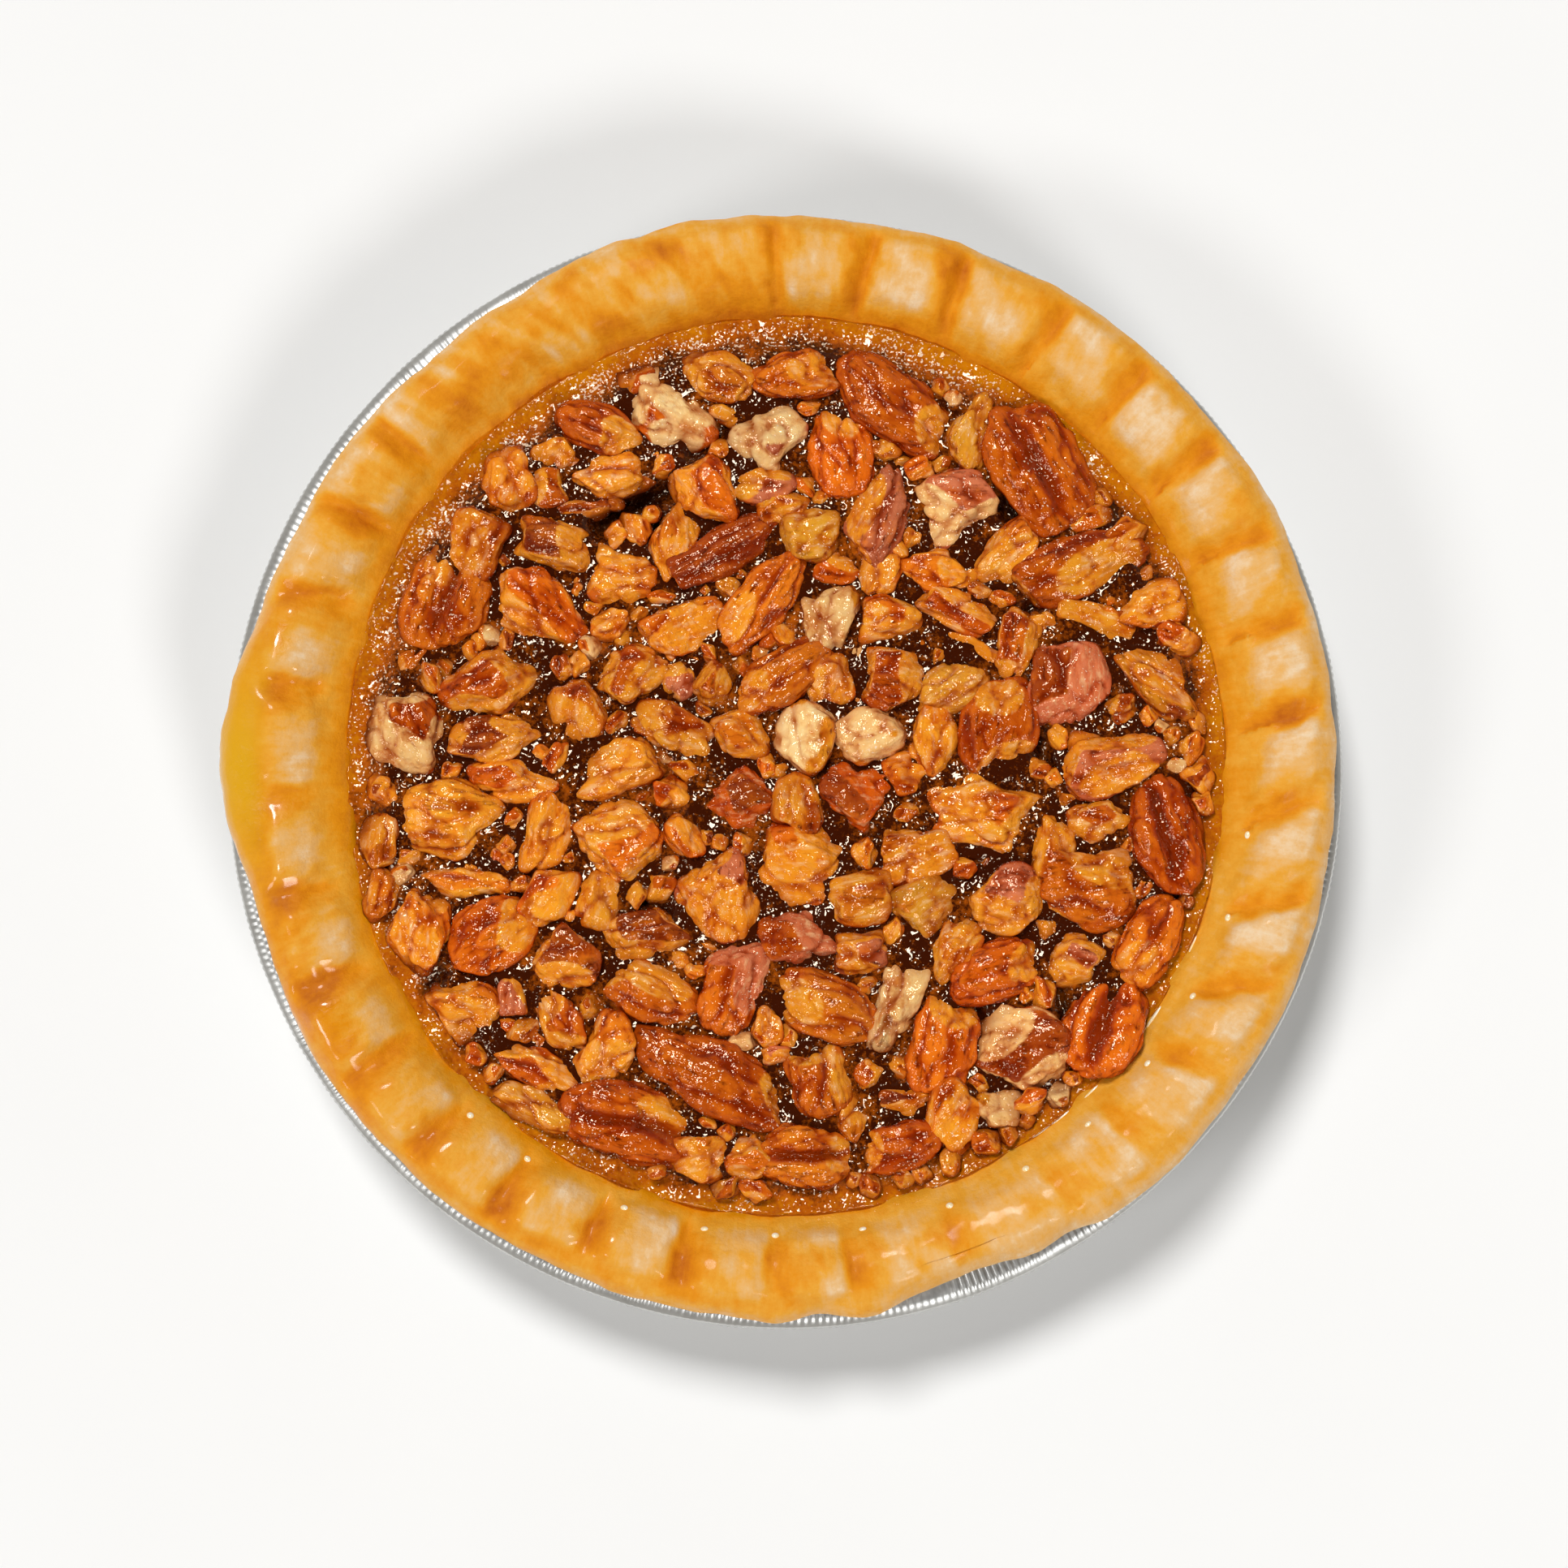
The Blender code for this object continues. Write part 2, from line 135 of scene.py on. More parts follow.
# How each pecan node looks: its skin, its flesh, how much flesh shows, and the heading in
# degrees that the broken face looks towards. The order is that of the nodes' numbers.
LOOKS = {
    "half": (
        ("rust", "gold", 0.1, 0), ("rust", "gold", 0.0, 0), ("rust", "gold", 0.0, 0),
        ("honey", "gold", 0.1, 200), ("honey", "gold", 0.1, 200), ("maroon", "gold", 0.0, 0),
        ("rose", "gold", 0.3, 150), ("orange", "gold", 0.1, 90), ("orange", "gold", 0.1, 0),
        ("orange", "gold", 0.0, 0), ("orange", "gold", 0.1, 0), ("honey", "gold", 0.1, 170),
        ("gold", "gold", 0.1, 180), ("rust", "gold", 0.1, 0), ("rust", "gold", 0.0, 0),
        ("rust", "gold", 0.35, 0), ("rust", "gold", 0.1, 90), ("orange", "gold", 0.2, 60),
        ("orange", "rose", 0.4, 0), ("honey", "gold", 0.4, 20), ("honey", "gold", 0.2, 240),
    ),
    "cup": (
        ("honey", "gold", 0.1, 90), ("orange", "gold", 0.0, 0), ("rust", "gold", 0.0, 0),
        ("orange", "gold", 0.0, 0), ("honey", "gold", 0.1, 0), ("rust", "gold", 0.1, 20),
    ),
    "chunk": (
        ("rust", "cream", 0.75, 60), ("rose", "cream", 0.45, 90), ("orange", "gold", 0.2, 200),
        ("maroon", "gold", 0.1, 0), ("orange", "gold", 0.15, 230), ("rust", "gold", 0.15, 20),
        ("rust", "cream", 0.4, 250), ("rose", "cream", 0.5, 215), ("maroon", "rose", 0.2, 0),
        ("rose", "gold", 0.2, 300), ("orange", "gold", 0.15, 180), ("maroon", "rust", 0.2, 40),
        ("orange", "gold", 0.2, 60), ("rose", "gold", 0.55, 235), ("maroon", "cream", 0.3, 135),
        ("orange", "gold", 0.5, 225), ("maroon", "gold", 0.45, 265), ("rose", "gold", 0.75, 250),
        ("orange", "gold", 0.45, 100), ("rust", "gold", 0.2, 0), ("maroon", "rust", 0.2, 200),
        ("rust", "rose", 0.3, 20), ("honey", "gold", 0.6, 250),
    ),
    "lump": (
        ("honey", "gold", 0.8, 90), ("honey", "gold", 0.8, 0), ("gold", "gold", 0.9, 160),
        ("olive", "olive", 0.8, 0), ("gold", "gold", 0.9, 60), ("cream", "cream", 0.9, 60),
        ("honey", "gold", 0.8, 300),
    ),
}

# Smaller pecan pieces between the nodes: x, y, length and width in millimetres, heading and
# colour. A piece in a flesh colour is bare, and one in a skin colour keeps its skin.
BITS = (
    (-13.5, 76, 13, 9, -10, "honey"), (-46, 61, 8, 7, 20, "gold"), (-54.5, 56, 11, 9.5, 80, "gold"),
    (-47.5, 54, 7.5, 7, 0, "rust"), (-34.5, 57, 13.5, 8.5, 5, "gold"), (-40.5, 50.5, 9, 4.5, 0, "maroon"),
    (-61.5, 43.5, 12, 10.5, 60, "gold"), (-22.5, 44, 14, 8, 80, "honey"), (-41.5, 9.5, 12, 10.5, 80, "gold"),
    (-31, 17, 13, 10, 20, "rust"), (-22, 16.5, 8, 7, 60, "rose"), (-57.5, 4.5, 16, 9, 12, "maroon"),
    (-22, 6.3, 15, 8, -25, "rust"), (-9.5, 5.5, 10.5, 10, 0, "honey"), (-5, 54.5, 11, 7, 0, "rose"),
    (4.5, 45, 11, 9.5, 20, "olive"), (-1, 50.5, 9, 6.5, 0, "honey"), (43, 41, 13, 8.5, 40, "gold"),
    (58, 47.5, 10, 5, 15, "rust"), (29.5, 38, 13, 8.5, 0, "honey"), (9.5, 38.5, 8, 6, 0, "rust"),
    (17.5, 37, 8, 7, 70, "gold"), (8, 28, 13, 10, 85, "cream"), (20, 28.5, 12, 8.5, 10, "orange"),
    (33, 30, 15, 7, -20, "rust"), (34, 23, 15, 5, -25, "gold"), (45, 22.5, 14, 7.5, 85, "rust"),
    (50.5, 28, 5.5, 5, 0, "gold"), (60, 27.5, 14, 7, -20, "gold"), (71, 31, 12, 8.5, 10, "gold"),
    (31.5, 14.5, 13, 9, 30, "olive"), (8, 16, 10.5, 9, 80, "gold"), (16, 5.5, 12.5, 10, 0, "cream"),
    (3.5, 5, 12.5, 10.5, 90, "cream"), (28.5, 4.5, 12, 8.5, 90, "gold"), (2, -8, 10, 9, 80, "gold"),
    (23, -2, 8, 7.5, 0, "gold"), (25, -17.5, 13, 10.5, 10, "gold"), (13, -26.5, 12.5, 9.5, 5, "honey"),
    (27, -27.5, 12, 11, 30, "olive"), (32, -37, 13, 7.5, 60, "honey"), (51.5, -17, 12, 8, 90, "honey"),
    (61, -11.5, 12, 8.5, 0, "rust"), (56.5, -38.5, 11, 9.5, 0, "rose"), (14, -37, 9, 8, 0, "rose"),
    (16, -60, 8, 6.5, 80, "rust"), (13, -69, 8.5, 6, 90, "gold"), (22.5, -66, 10, 6, 10, "maroon"),
    (32, -68.5, 11.5, 10, 60, "gold"), (40.5, -67, 8, 7, 0, "cream"), (47, -66, 6, 4.5, 20, "rust"),
    (-54, -3.5, 15, 8, -5, "rust"), (-63.5, -23, 16, 8, -5, "honey"), (-80, -15.5, 10, 7, 85, "honey"),
    (-79.5, -26, 9, 6, 80, "honey"), (-47.5, -14, 14, 8.5, 68, "gold"), (-46.5, -26, 11, 8, 60, "orange"),
    (-37, -27, 10, 8, 80, "gold"), (-28.5, -33.5, 16, 8.5, 5, "maroon"), (-16.5, -37, 6.5, 5, 0, "gold"),
    (-53.5, -45, 8, 6, 80, "rose"), (-45, -50, 14, 7.5, -60, "rust"), (-49, -59.5, 16, 7, -25, "rust"),
    (-49.5, -67, 14, 6.5, -20, "olive"), (-35, -56.5, 13, 10, 60, "gold"), (-3, -57, 6.5, 3.5, 0, "rose"),
    (-17, -77, 10, 9, 20, "gold"), (-7.5, -77, 8.5, 8, 0, "orange"), (-74.5, 20, 7, 5, 40, "honey"),
    (66, 45, 8, 5, 30, "honey"), (78.5, 3, 6, 4.5, 70, "honey"), (-30, 75.5, 7, 5, 20, "rust"),
)

# How far the pecans reach from the middle, as bearing and radius in millimetres
BED_REACH_MM = (
    (0, 80.0), (45, 82.0), (90, 82.5), (135, 84.0), (180, 83.5), (225, 82.5), (270, 79.5), (300, 77.5),
    (335, 78.5),
)

FLESH_COLOURS = ("gold", "cream", "olive")

# The colours of the crumbs, each as often as it is named, and the smallest gap that gets one
CRUMB_COLOURS = (
    "gold", "honey", "rust", "maroon", "orange", "rust", "honey", "gold", "rust", "orange", "cream",
)
SMALLEST_GAP = 0.3 * MM

# The lattice of places where crumbs are tried, how far a crumb reaches over its gap's edge, and half
# the width of the widest crumb
CRUMB_REACH_MM = 84.0
CRUMB_PITCH_MM = 1.15
CRUMB_OVERLAP = 1.5 * MM
WIDEST_CRUMB = 4.8 * MM

# Where the seeds of the bits and of the crumbs start, clear of the nodes', and how many noises there are
FIRST_BIT_SEED = 9000
FIRST_CRUMB_SEED = 20000
NOISE_SEEDS = 977

# How much of the ribs' height shows at each knot of the tin's section, outwards and downwards
RIB_OUTWARD = np.array((0, 0, 0, 0.3, 0.7, 0.9, 1.0, 1.0, 0.8, 0.3, 0, 0, 0.2, 0.5, 0.6, 0.6, 0.4))
RIB_DOWNWARD = np.array((0, 0, 0, 0, 0, 0, 0, 0, 0, 0.2, 0.5, 0.6, 0.3, 0, 0, 0, 0))
STEPS_PER_RIB = 4

# The hidden faces of the crust as radii and heights, clear of the tin below and the filling inside
CRUST_UNDERSIDE = ((0.0, 0.85 * MM), (75.8 * MM, 0.85 * MM), (96.3 * MM, 29.85 * MM))
CRUST_FLOOR = ((72.8 * MM, 5.15 * MM), (0.0, 5.15 * MM))
FILLING_FOOT_RADIUS = 72.2 * MM

# A height clear above the rim, from which the beads of syrup are dropped onto it
ABOVE_RIM = 60.0 * MM

# How many steps the crust's section takes between each knot and the next
CRUST_SPANS = (2, 3, 4, 4, 4, 5, 7, 7, 7, 8, 3)

# What differs between the kinds of pecan piece: its object, its slot, how square it is, how many
# faces it is broken along, and how many creases it has
PecanKind = namedtuple("PecanKind", "label note piece slot fullness breaks lobes")
KINDS = {
    "half": PecanKind("Halves", "Halves with their skin up", "pecan_halves", "pecan_skin", 2.2, 1, 6.0),
    "cup": PecanKind(
        "Cups", "Halves with their grooved inner side up", "pecan_cups", "pecan_inner_skin", 2.3, 0, 5.0
    ),
    "chunk": PecanKind(
        "Chunks", "Broken pieces with skin and flesh", "pecan_chunks", "pecan_broken", 2.6, 4, 6.0
    ),
    "lump": PecanKind("Lumps", "Pieces of bare flesh", "pecan_lumps", "pecan_flesh", 2.4, 3, 4.0),
}

# Random values on a lattice, which smooth noise is drawn between, and a turn that hides its grid
NOISE_CELLS = 48
NOISE_LATTICE = np.random.default_rng(5).uniform(-1.0, 1.0, (NOISE_CELLS,) * 3)
NOISE_TURN = np.array(
    Matrix.Rotation(0.6, 3, "X") @ Matrix.Rotation(0.5, 3, "Y") @ Matrix.Rotation(0.4, 3, "Z")
)

# The middle of the bed of pecans
BED_CENTRE = np.array((0.9, 0.5)) * MM

# How far each pecan reaches past its plain block, so that the pieces lie against each other
PECAN_SWELL = 1.25

# How high the flutes stand over the rim's rounded top, and how much of each valley's depth shows
FLUTE_HEIGHT = 1.0 * MM
FLUTE_DEPTH_SHARE = 0.8

Pecan = namedtuple("Pecan", "kind centre size heading skin flesh bare side seed")


# ---------------------------------------------------------------------------------------------
# What a user would change
# ---------------------------------------------------------------------------------------------


def linear(code):
    """A linear RGBA colour from an sRGB hex code such as #E8A030."""
    shares = [int(code[place : place + 2], 16) / 255.0 for place in (1, 3, 5)]
    channels = [share / 12.92 if share <= 0.04045 else ((share + 0.055) / 1.055) ** 2.4 for share in shares]
    return (*channels, 1.0)


def length_property(name, description, millimetres):
    """A length property in metres whose default is given in millimetres."""
    return bpy.props.FloatProperty(
        name=name, description=description, default=millimetres * MM, unit="LENGTH", min=0.0, precision=5
    )


def colour_property(name, description, code):
    """A colour property whose default is an sRGB hex code."""
    return bpy.props.FloatVectorProperty(
        name=name, description=description, default=linear(code), size=4, subtype="COLOR", min=0.0, max=1.0
    )


class PIE_PG_tin(bpy.types.PropertyGroup):
    """The foil tin's sizes and colour."""

    foil: length_property("Foil", "Thickness of the drawn foil", 0.25)
    base_radius: length_property("Base radius", "Flat part of the base", 76.6)
    corner_radius: length_property("Corner radius", "Foot of the wall", 78.0)
    wall_radius: length_property("Wall radius", "Top of the flared wall", 97.2)
    curl: length_property("Curl", "How far the edge turns down", 2.6)
    rib_pitch: length_property("Rib pitch", "From one pressed rib to the next at the edge", 1.42)
    rib_height: length_property("Rib height", "How far a rib stands out at the edge", 0.55)
    metal: colour_property("Foil colour", "Bare aluminium", "#DDDDDA")


class PIE_PG_crust(bpy.types.PropertyGroup):
    """The crust's fineness and its bake colours, from palest to darkest."""

    steps: bpy.props.IntProperty(name="Steps", description="Steps round the rim", default=1160, min=136)
    lump: length_property("Lumps", "Height of the dough's lumps", 0.32)
    # The palest colours also paint the light on the lit side of each flute, and the browner ones the shade in
    # the valleys and on the north inner wall
    pale: colour_property("Pale", "Floury top of a flute", "#F0D4AE")
    straw: colour_property("Straw", "Lightly baked", "#EAB670")
    gold: colour_property("Gold", "Evenly baked", "#EBA534")
    amber: colour_property("Amber", "Well baked", "#E6900A")
    brown: colour_property("Brown", "In the valleys", "#D67C01")
    dark: colour_property("Dark", "Caught by the heat", "#BC6001")
    olive: colour_property("Olive", "Soaked with syrup", "#E0A510")


class PIE_PG_filling(bpy.types.PropertyGroup):
    """The caramel filling's fineness and colours."""

    cells: bpy.props.IntProperty(name="Cells", description="Cells across the surface", default=286, min=40)
    foam: colour_property("Foam", "Pale froth at the edge", "#D07C06")
    caramel: colour_property("Caramel", "Set caramel", "#B4560A")
    syrup: colour_property("Syrup", "Deep syrup between the pecans", "#3C1202")
    # Painted shade that darkens the deep hollows of the bed
    hollow_shade: colour_property("Pit", "Where syrup has sunk away", "#120402")


class PIE_PG_pecans(bpy.types.PropertyGroup):
    """The pecans' skin and flesh colours and the depth of their wrinkles."""

    wrinkle: length_property("Wrinkle", "Depth of the creases along a kernel", 0.62)
    large_bit: length_property("Large bit", "Pieces at least this long are made finer", 16.0)
    large_crumb: length_property("Large crumb", "Crumbs at least this long are made finer", 4.8)
    crumbs: bpy.props.IntProperty(name="Crumbs", description="Most crumbs set in the gaps", default=420)
    orange: colour_property("Orange skin", "Syrup-soaked skin", "#EE7616")
    rust: colour_property("Rust skin", "Darker skin", "#DA6210")
    honey: colour_property("Honey skin", "Light skin", "#EE801A")
    maroon: colour_property("Maroon skin", "Skin baked dark red", "#A84814")
    rose: colour_property("Rose skin", "Dry pinkish skin", "#E07E54")
    gold: colour_property("Gold flesh", "Syrup-soaked flesh", "#F69F28")
    cream: colour_property("Cream flesh", "Dry flesh", "#FFD692")
    olive: colour_property("Olive flesh", "Flesh seen through syrup", "#EA9E2C")


class PIE_PG_stage(bpy.types.PropertyGroup):
    """The camera and the lights."""

    distance: bpy.props.FloatProperty(
        name="Distance", description="Camera to the rim", default=0.80, unit="LENGTH", min=0.3
    )
    elevation: bpy.props.FloatProperty(
        name="Elevation", description="Height of the view", default=math.radians(86.0), subtype="ANGLE"
    )
    width: length_property("Width", "Width of the frame at the rim's height", 305.4)
    key_strength: bpy.props.FloatProperty(name="Key", description="Key light in W/m2", default=1.94)
    fill_strength: bpy.props.FloatProperty(name="Fill", description="Fill lights in W/m2", default=1.64)
    lamp_angle: bpy.props.FloatProperty(
        name="Softness", description="How wide each light looks", default=math.radians(15.0), subtype="ANGLE"
    )
    sky: bpy.props.FloatProperty(name="Sky", description="Light from the studio's walls", default=0.3)


# ---------------------------------------------------------------------------------------------
# Tools
# ---------------------------------------------------------------------------------------------


def add_node(tree, kind, inputs=None, output=0, stops=(), **settings):
    """Add a shader node and return one of its outputs.

    inputs maps socket names or numbers to values, to sRGB hex codes or to the outputs to link from.
    """
    node = tree.nodes.new(f"ShaderNode{kind}")
    for name, value in settings.items():
        setattr(node, name, value)
    for name, value in (inputs or {}).items():
        if isinstance(value, bpy.types.NodeSocket):
            tree.links.new(value, node.inputs[name])
        else:
            node.inputs[name].default_value = linear(value) if isinstance(value, str) else value
    if stops:
        elements = node.color_ramp.elements
        while len(elements) < len(stops):
            elements.new(1.0)
        for element, (position, colour) in zip(elements, stops):
            element.position = position
            element.color = linear(colour) if isinstance(colour, str) else colour
    return node.outputs[output]


def new_material(name, **values):
    """A material and its node tree, with the constant values set on its shader's own sockets."""
    material = bpy.data.materials.new(name)
    material.use_nodes = True
    shader = material.node_tree.nodes["Principled BSDF"]
    for socket, value in values.items():
        shader.inputs[socket.replace("_", " ")].default_value = value
    return material, material.node_tree


def link_shader(material, **outputs):
    """Link outputs to the sockets of a material's shader, and return the material."""
    tree = material.node_tree
    for socket, output in outputs.items():
        tree.links.new(output, tree.nodes["Principled BSDF"].inputs[socket.replace("_", " ")])
    return material


def node_points(name):
    """The distinct corners of a CAD node, as an array in metres."""
    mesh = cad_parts[name].data
    points = np.empty(len(mesh.vertices) * 3, np.float32)
    mesh.vertices.foreach_get("co", points)
    return np.unique(points.reshape(-1, 3), axis=0).astype(float)


def noise_at(points, size, seed=0):
    """Smooth noise from about -1 to 1 at each point, with features of about a size in metres."""
    places = np.asarray(points, float) @ NOISE_TURN / size + np.array((17.31, 5.17, 9.73)) * (seed + 1)
    whole = np.floor(places)
    share = places - whole
    share = share * share * (3.0 - 2.0 * share)
    cell = whole.astype(int) % NOISE_CELLS
    total = np.zeros(places.shape[:-1])
    for corner in np.ndindex(2, 2, 2):
        pick = (cell + corner) % NOISE_CELLS
        weight = np.where(corner, share, 1.0 - share).prod(axis=-1)
        total += weight * NOISE_LATTICE[pick[..., 0], pick[..., 1], pick[..., 2]]
    return total


def smooth(low, high, values):
    """Zero below low and one above high, with an eased change between them."""
    share = np.clip((np.asarray(values, float) - low) / (high - low), 0.0, 1.0)
    return share * share * (3.0 - 2.0 * share)


def bell(values, middle, width):
    """One at the middle, easing to nearly zero two widths away from it."""
    return np.exp(-(((values - middle) / width) ** 2))


def fade(distances, reach):
    """One up to a distance of zero, fading out beyond it."""
    return np.exp(-np.clip(distances, 0.0, None) / reach)


def facing(bearings, heading):
    """One at a heading in degrees, easing to minus one on the far side of the pie."""
    return np.cos(np.radians(bearings - heading))


def read_round(table, bearings):
    """The value at each bearing of a table of bearings and values."""
    return np.interp(bearings, *np.array(table).T, period=360.0)


def polar(bearings, radii, heights):
    """Points from bearings in degrees, radii and heights, as one array."""
    angles = np.radians(bearings)
    return np.stack(
        np.broadcast_arrays(radii * np.sin(angles), radii * np.cos(angles), heights), axis=-1
    )


def bearing_and_radius(points):
    """The bearing in degrees and the radius of each point."""
    bearings = np.degrees(np.arctan2(points[..., 0], points[..., 1])) % 360.0
    return bearings, np.hypot(points[..., 0], points[..., 1])


def spot_sum(spots, bearings, radii):
    """The summed strength of round soft spots, given as bearing, radius and size in mm and strength."""
    here = polar(bearings, radii, 0.0)
    total = np.zeros(np.broadcast(bearings, radii).shape)
    for bearing, radius, size, strength in spots:
        centre = polar(bearing, radius * MM, 0.0)
        total += strength * np.exp(-(np.sum((here - centre) ** 2, axis=-1)) / (size * MM) ** 2)
    return total


def turned_bmesh(rings, steps, closed=True):
    """A bmesh turned about Z, whose first ring, and last if it is closed, is a point on the axis.

    Each vertex keeps the numbers of its ring and of its step, which its place is worked out from.
    """
    bm = bmesh.new()
    ring_layer = bm.verts.layers.int.new("ring")
    step_layer = bm.verts.layers.int.new("step")
    bmesh.ops.create_grid(bm, x_segments=steps, y_segments=rings - 1, size=1.0)
    for vert in bm.verts:
        step = round((vert.co.x + 1.0) / 2.0 * steps)
        ring = round((vert.co.y + 1.0) / 2.0 * (rings - 1))
        vert[ring_layer] = ring
        vert[step_layer] = step % steps
        on_axis = ring == 0 or (closed and ring == rings - 1)
        turn = math.tau * step / steps
        vert.co = (0.0, 0.0, ring) if on_axis else (math.sin(turn), math.cos(turn), ring)
    bmesh.ops.remove_doubles(bm, verts=bm.verts, dist=1e-5)
    return bm


def place_rings(bm, points):
    """Move each vertex of a turned bmesh to points[step, ring], and return its step and ring."""
    ring_layer = bm.verts.layers.int["ring"]
    step_layer = bm.verts.layers.int["step"]
    rings = np.array([vert[ring_layer] for vert in bm.verts])
    steps = np.array([vert[step_layer] for vert in bm.verts])
    for vert, place in zip(bm.verts, points[steps, rings]):
        vert.co = place
    bmesh.ops.recalc_face_normals(bm, faces=bm.faces)
    return steps, rings


def add_piece(bm, name, material, replaced=(), attributes=None):
    """Finish a bmesh as a piece that rides on the pie, with its point attributes."""
    mesh = bpy.data.meshes.new(name)
    bm.to_mesh(mesh)
    bm.free()
    mesh.shade_smooth()
    kinds = {1: ("FLOAT", "value"), 3: ("FLOAT_VECTOR", "vector"), 4: ("FLOAT_COLOR", "color")}
    for key, values in (attributes or {}).items():
        values = np.asarray(values, np.float32)
        kind, field = kinds[values.size // len(values)]
        layer = mesh.attributes.new(key, kind, "POINT")
        layer.data.foreach_set(field, values.ravel())
    mesh.materials.append(material)
    piece = bpy.data.objects.new(name, mesh)
    bpy.context.scene.collection.objects.link(piece)
    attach(piece, "root")
    if replaced:
        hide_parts(*replaced)
    return piece


def catmull_rom(knots, counts):
    """Smooth curves through knots[..., number, :], with counts[number] points in each span."""
    ahead = knots[..., :1, :] * 2.0 - knots[..., 1:2, :]
    extended = np.concatenate((ahead, knots, knots[..., -1:, :]), axis=-2)
    pieces = []
    for number, count in enumerate(counts):
        p0, p1, p2, p3 = (extended[..., number + shift, None, :] for shift in range(4))
        t = (np.arange(count) / count)[:, None]
        bend = (2 * p0 - 5 * p1 + 4 * p2 - p3) * t**2 + (3 * p1 - p0 - 3 * p2 + p3) * t**3
        pieces.append(0.5 * (2 * p1 + (p2 - p0) * t + bend))
    pieces.append(knots[..., -1:, :])
    return np.concatenate(pieces, axis=-2)


# ---------------------------------------------------------------------------------------------
# The foil tin
# ---------------------------------------------------------------------------------------------


def foil_material(settings):
    """Drawn aluminium foil: bright, with soft crinkles from pressing and a faint rolled grain."""
    material, tree = new_material("aluminium_foil", Metallic=1.0)
    place = add_node(tree, "TexCoord", output="Object")
    crinkle, grain = (
        add_node(tree, "TexNoise", {"Vector": place, "Scale": 1.0 / (size * MM), "Detail": detail})
        for size, detail in ((7.0, 3.0), (0.9, 2.0))
    )
    tint = add_node(tree, "Mix", {0: crinkle, 6: "#B9B9B6", 7: settings.metal}, 2, data_type="RGBA")
    rough = add_node(tree, "MapRange", {"Value": grain, "To Min": 0.34, "To Max": 0.5})
    soft = add_node(tree, "Bump", {"Height": crinkle, "Strength": 0.5, "Distance": 0.6 * MM})
    fine = add_node(tree, "Bump", {"Height": grain, "Strength": 0.3, "Distance": 0.05 * MM, "Normal": soft})
    return link_shader(material, Base_Color=tint, Roughness=rough, Normal=fine)


def tin_section(settings, rim, depth):
    """The tin's section as radii and heights, from the middle of its base to its curled edge."""
    foot = 0.8 * MM
    base, corner, wall = settings.base_radius, settings.corner_radius, settings.wall_radius
    curl = settings.curl
    knots = [(0.0, 0.0), (0.5 * base, 0.0), (base, 0.0), (corner, foot)]
    for share in (0.12, 0.35, 0.6, 0.82, 0.95):
        knots.append((corner + (wall - corner) * share, foot + (depth - 1.4 * MM) * share))
    middle = rim - 0.5 * curl
    knots += [(wall + 0.9 * MM, depth), (wall + 4.0 * MM, depth), (middle - 0.3 * curl, depth)]
    for angle in (50, 95, 140, 185, 225):
        turn = math.radians(angle)
        knots.append((middle + 0.48 * curl * math.sin(turn), depth - 0.5 * curl * (1.0 - math.cos(turn))))
    return np.array(knots)


class PIE_OT_tin(bpy.types.Operator):
    """Make the ribbed foil tin with its curled edge"""

    bl_idname = "pie.tin"
    bl_label = "Foil Tin"

    def execute(self, context):
        settings = context.scene.pie_tin
        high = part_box("tin")[1]
        rim = high.x
        section = tin_section(settings, rim, high.z - 0.5 * MM)
        steps = round(math.tau * rim / settings.rib_pitch) * STEPS_PER_RIB
        bearings = np.arange(steps) * 360.0 / steps
        circle = polar(bearings, rim, 0.0)
        sway = noise_at(circle, 11.0 * MM, 3)
        rib = 0.5 + 0.5 * np.sin(np.arange(steps) * math.tau / STEPS_PER_RIB + 0.9 * sway)
        rib = (rib * (0.7 + 0.45 * noise_at(circle, 4.0 * MM, 4)))[:, None] * settings.rib_height
        radii = section[:, 0] + rib * RIB_OUTWARD
        # The flange waves a little, and the wall was pleated where the foil was drawn down
        radii[:, 10:] += 0.25 * noise_at(circle, 40.0 * MM, 5)[:, None] * MM
        pleat = np.clip(0.3 + noise_at(circle, 5.0 * MM, 6), 0.0, 1.2)[:, None]
        radii[:, 3:10] += pleat * 0.7 * MM * RIB_OUTWARD[3:10]
        points = polar(bearings[:, None], radii, section[:, 1] - rib * RIB_DOWNWARD)
        bm = turned_bmesh(len(section), steps, closed=False)
        place_rings(bm, points)
        piece = add_piece(bm, "foil_tin", foil_material(settings), ["tin"])
        skin = piece.modifiers.new("foil", "SOLIDIFY")
        skin.thickness = settings.foil
        skin.offset = -1.0
        return {"FINISHED"}


# ---------------------------------------------------------------------------------------------
# The crust
# ---------------------------------------------------------------------------------------------


def crust_rings():
    """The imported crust's rim as {ring: (bearings, radii, heights)}, in order of bearing."""
    points = node_points("crust")
    bearings, radii = bearing_and_radius(points)
    crest = points[:, 2].max()
    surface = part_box("filling")[1].z
    order = np.argsort(bearings)
    order = order[radii[order] > MM]
    columns = np.split(order, np.flatnonzero(np.diff(bearings[order]) > 0.5) + 1)
    rings = {name: [] for name in ("under", "lip", "crest", "edge")}
    for column in columns:
        outwards = column[np.argsort(radii[column])]
        heights = points[outwards, 2]
        top = outwards[heights > crest - 4.6 * MM]
        shelf = outwards[(surface - 2.6 * MM < heights) & (heights < surface - 1.2 * MM)]
        inside = outwards[(abs(heights - surface) < MM) & (radii[outwards] < 95.0 * MM)]
        found = (shelf[-1], outwards[-1], top[1], inside[0])
        for name, corner in zip(rings, found):
            rings[name].append((bearings[corner], radii[corner], points[corner, 2]))
    return {name: np.array(rows).T for name, rows in rings.items()}


def ring_at(ring, bearings):
    """A ring's radii and heights at other bearings."""
    known, radii, heights = ring
    return np.interp(bearings, known, radii, period=360.0), np.interp(bearings, known, heights, period=360.0)


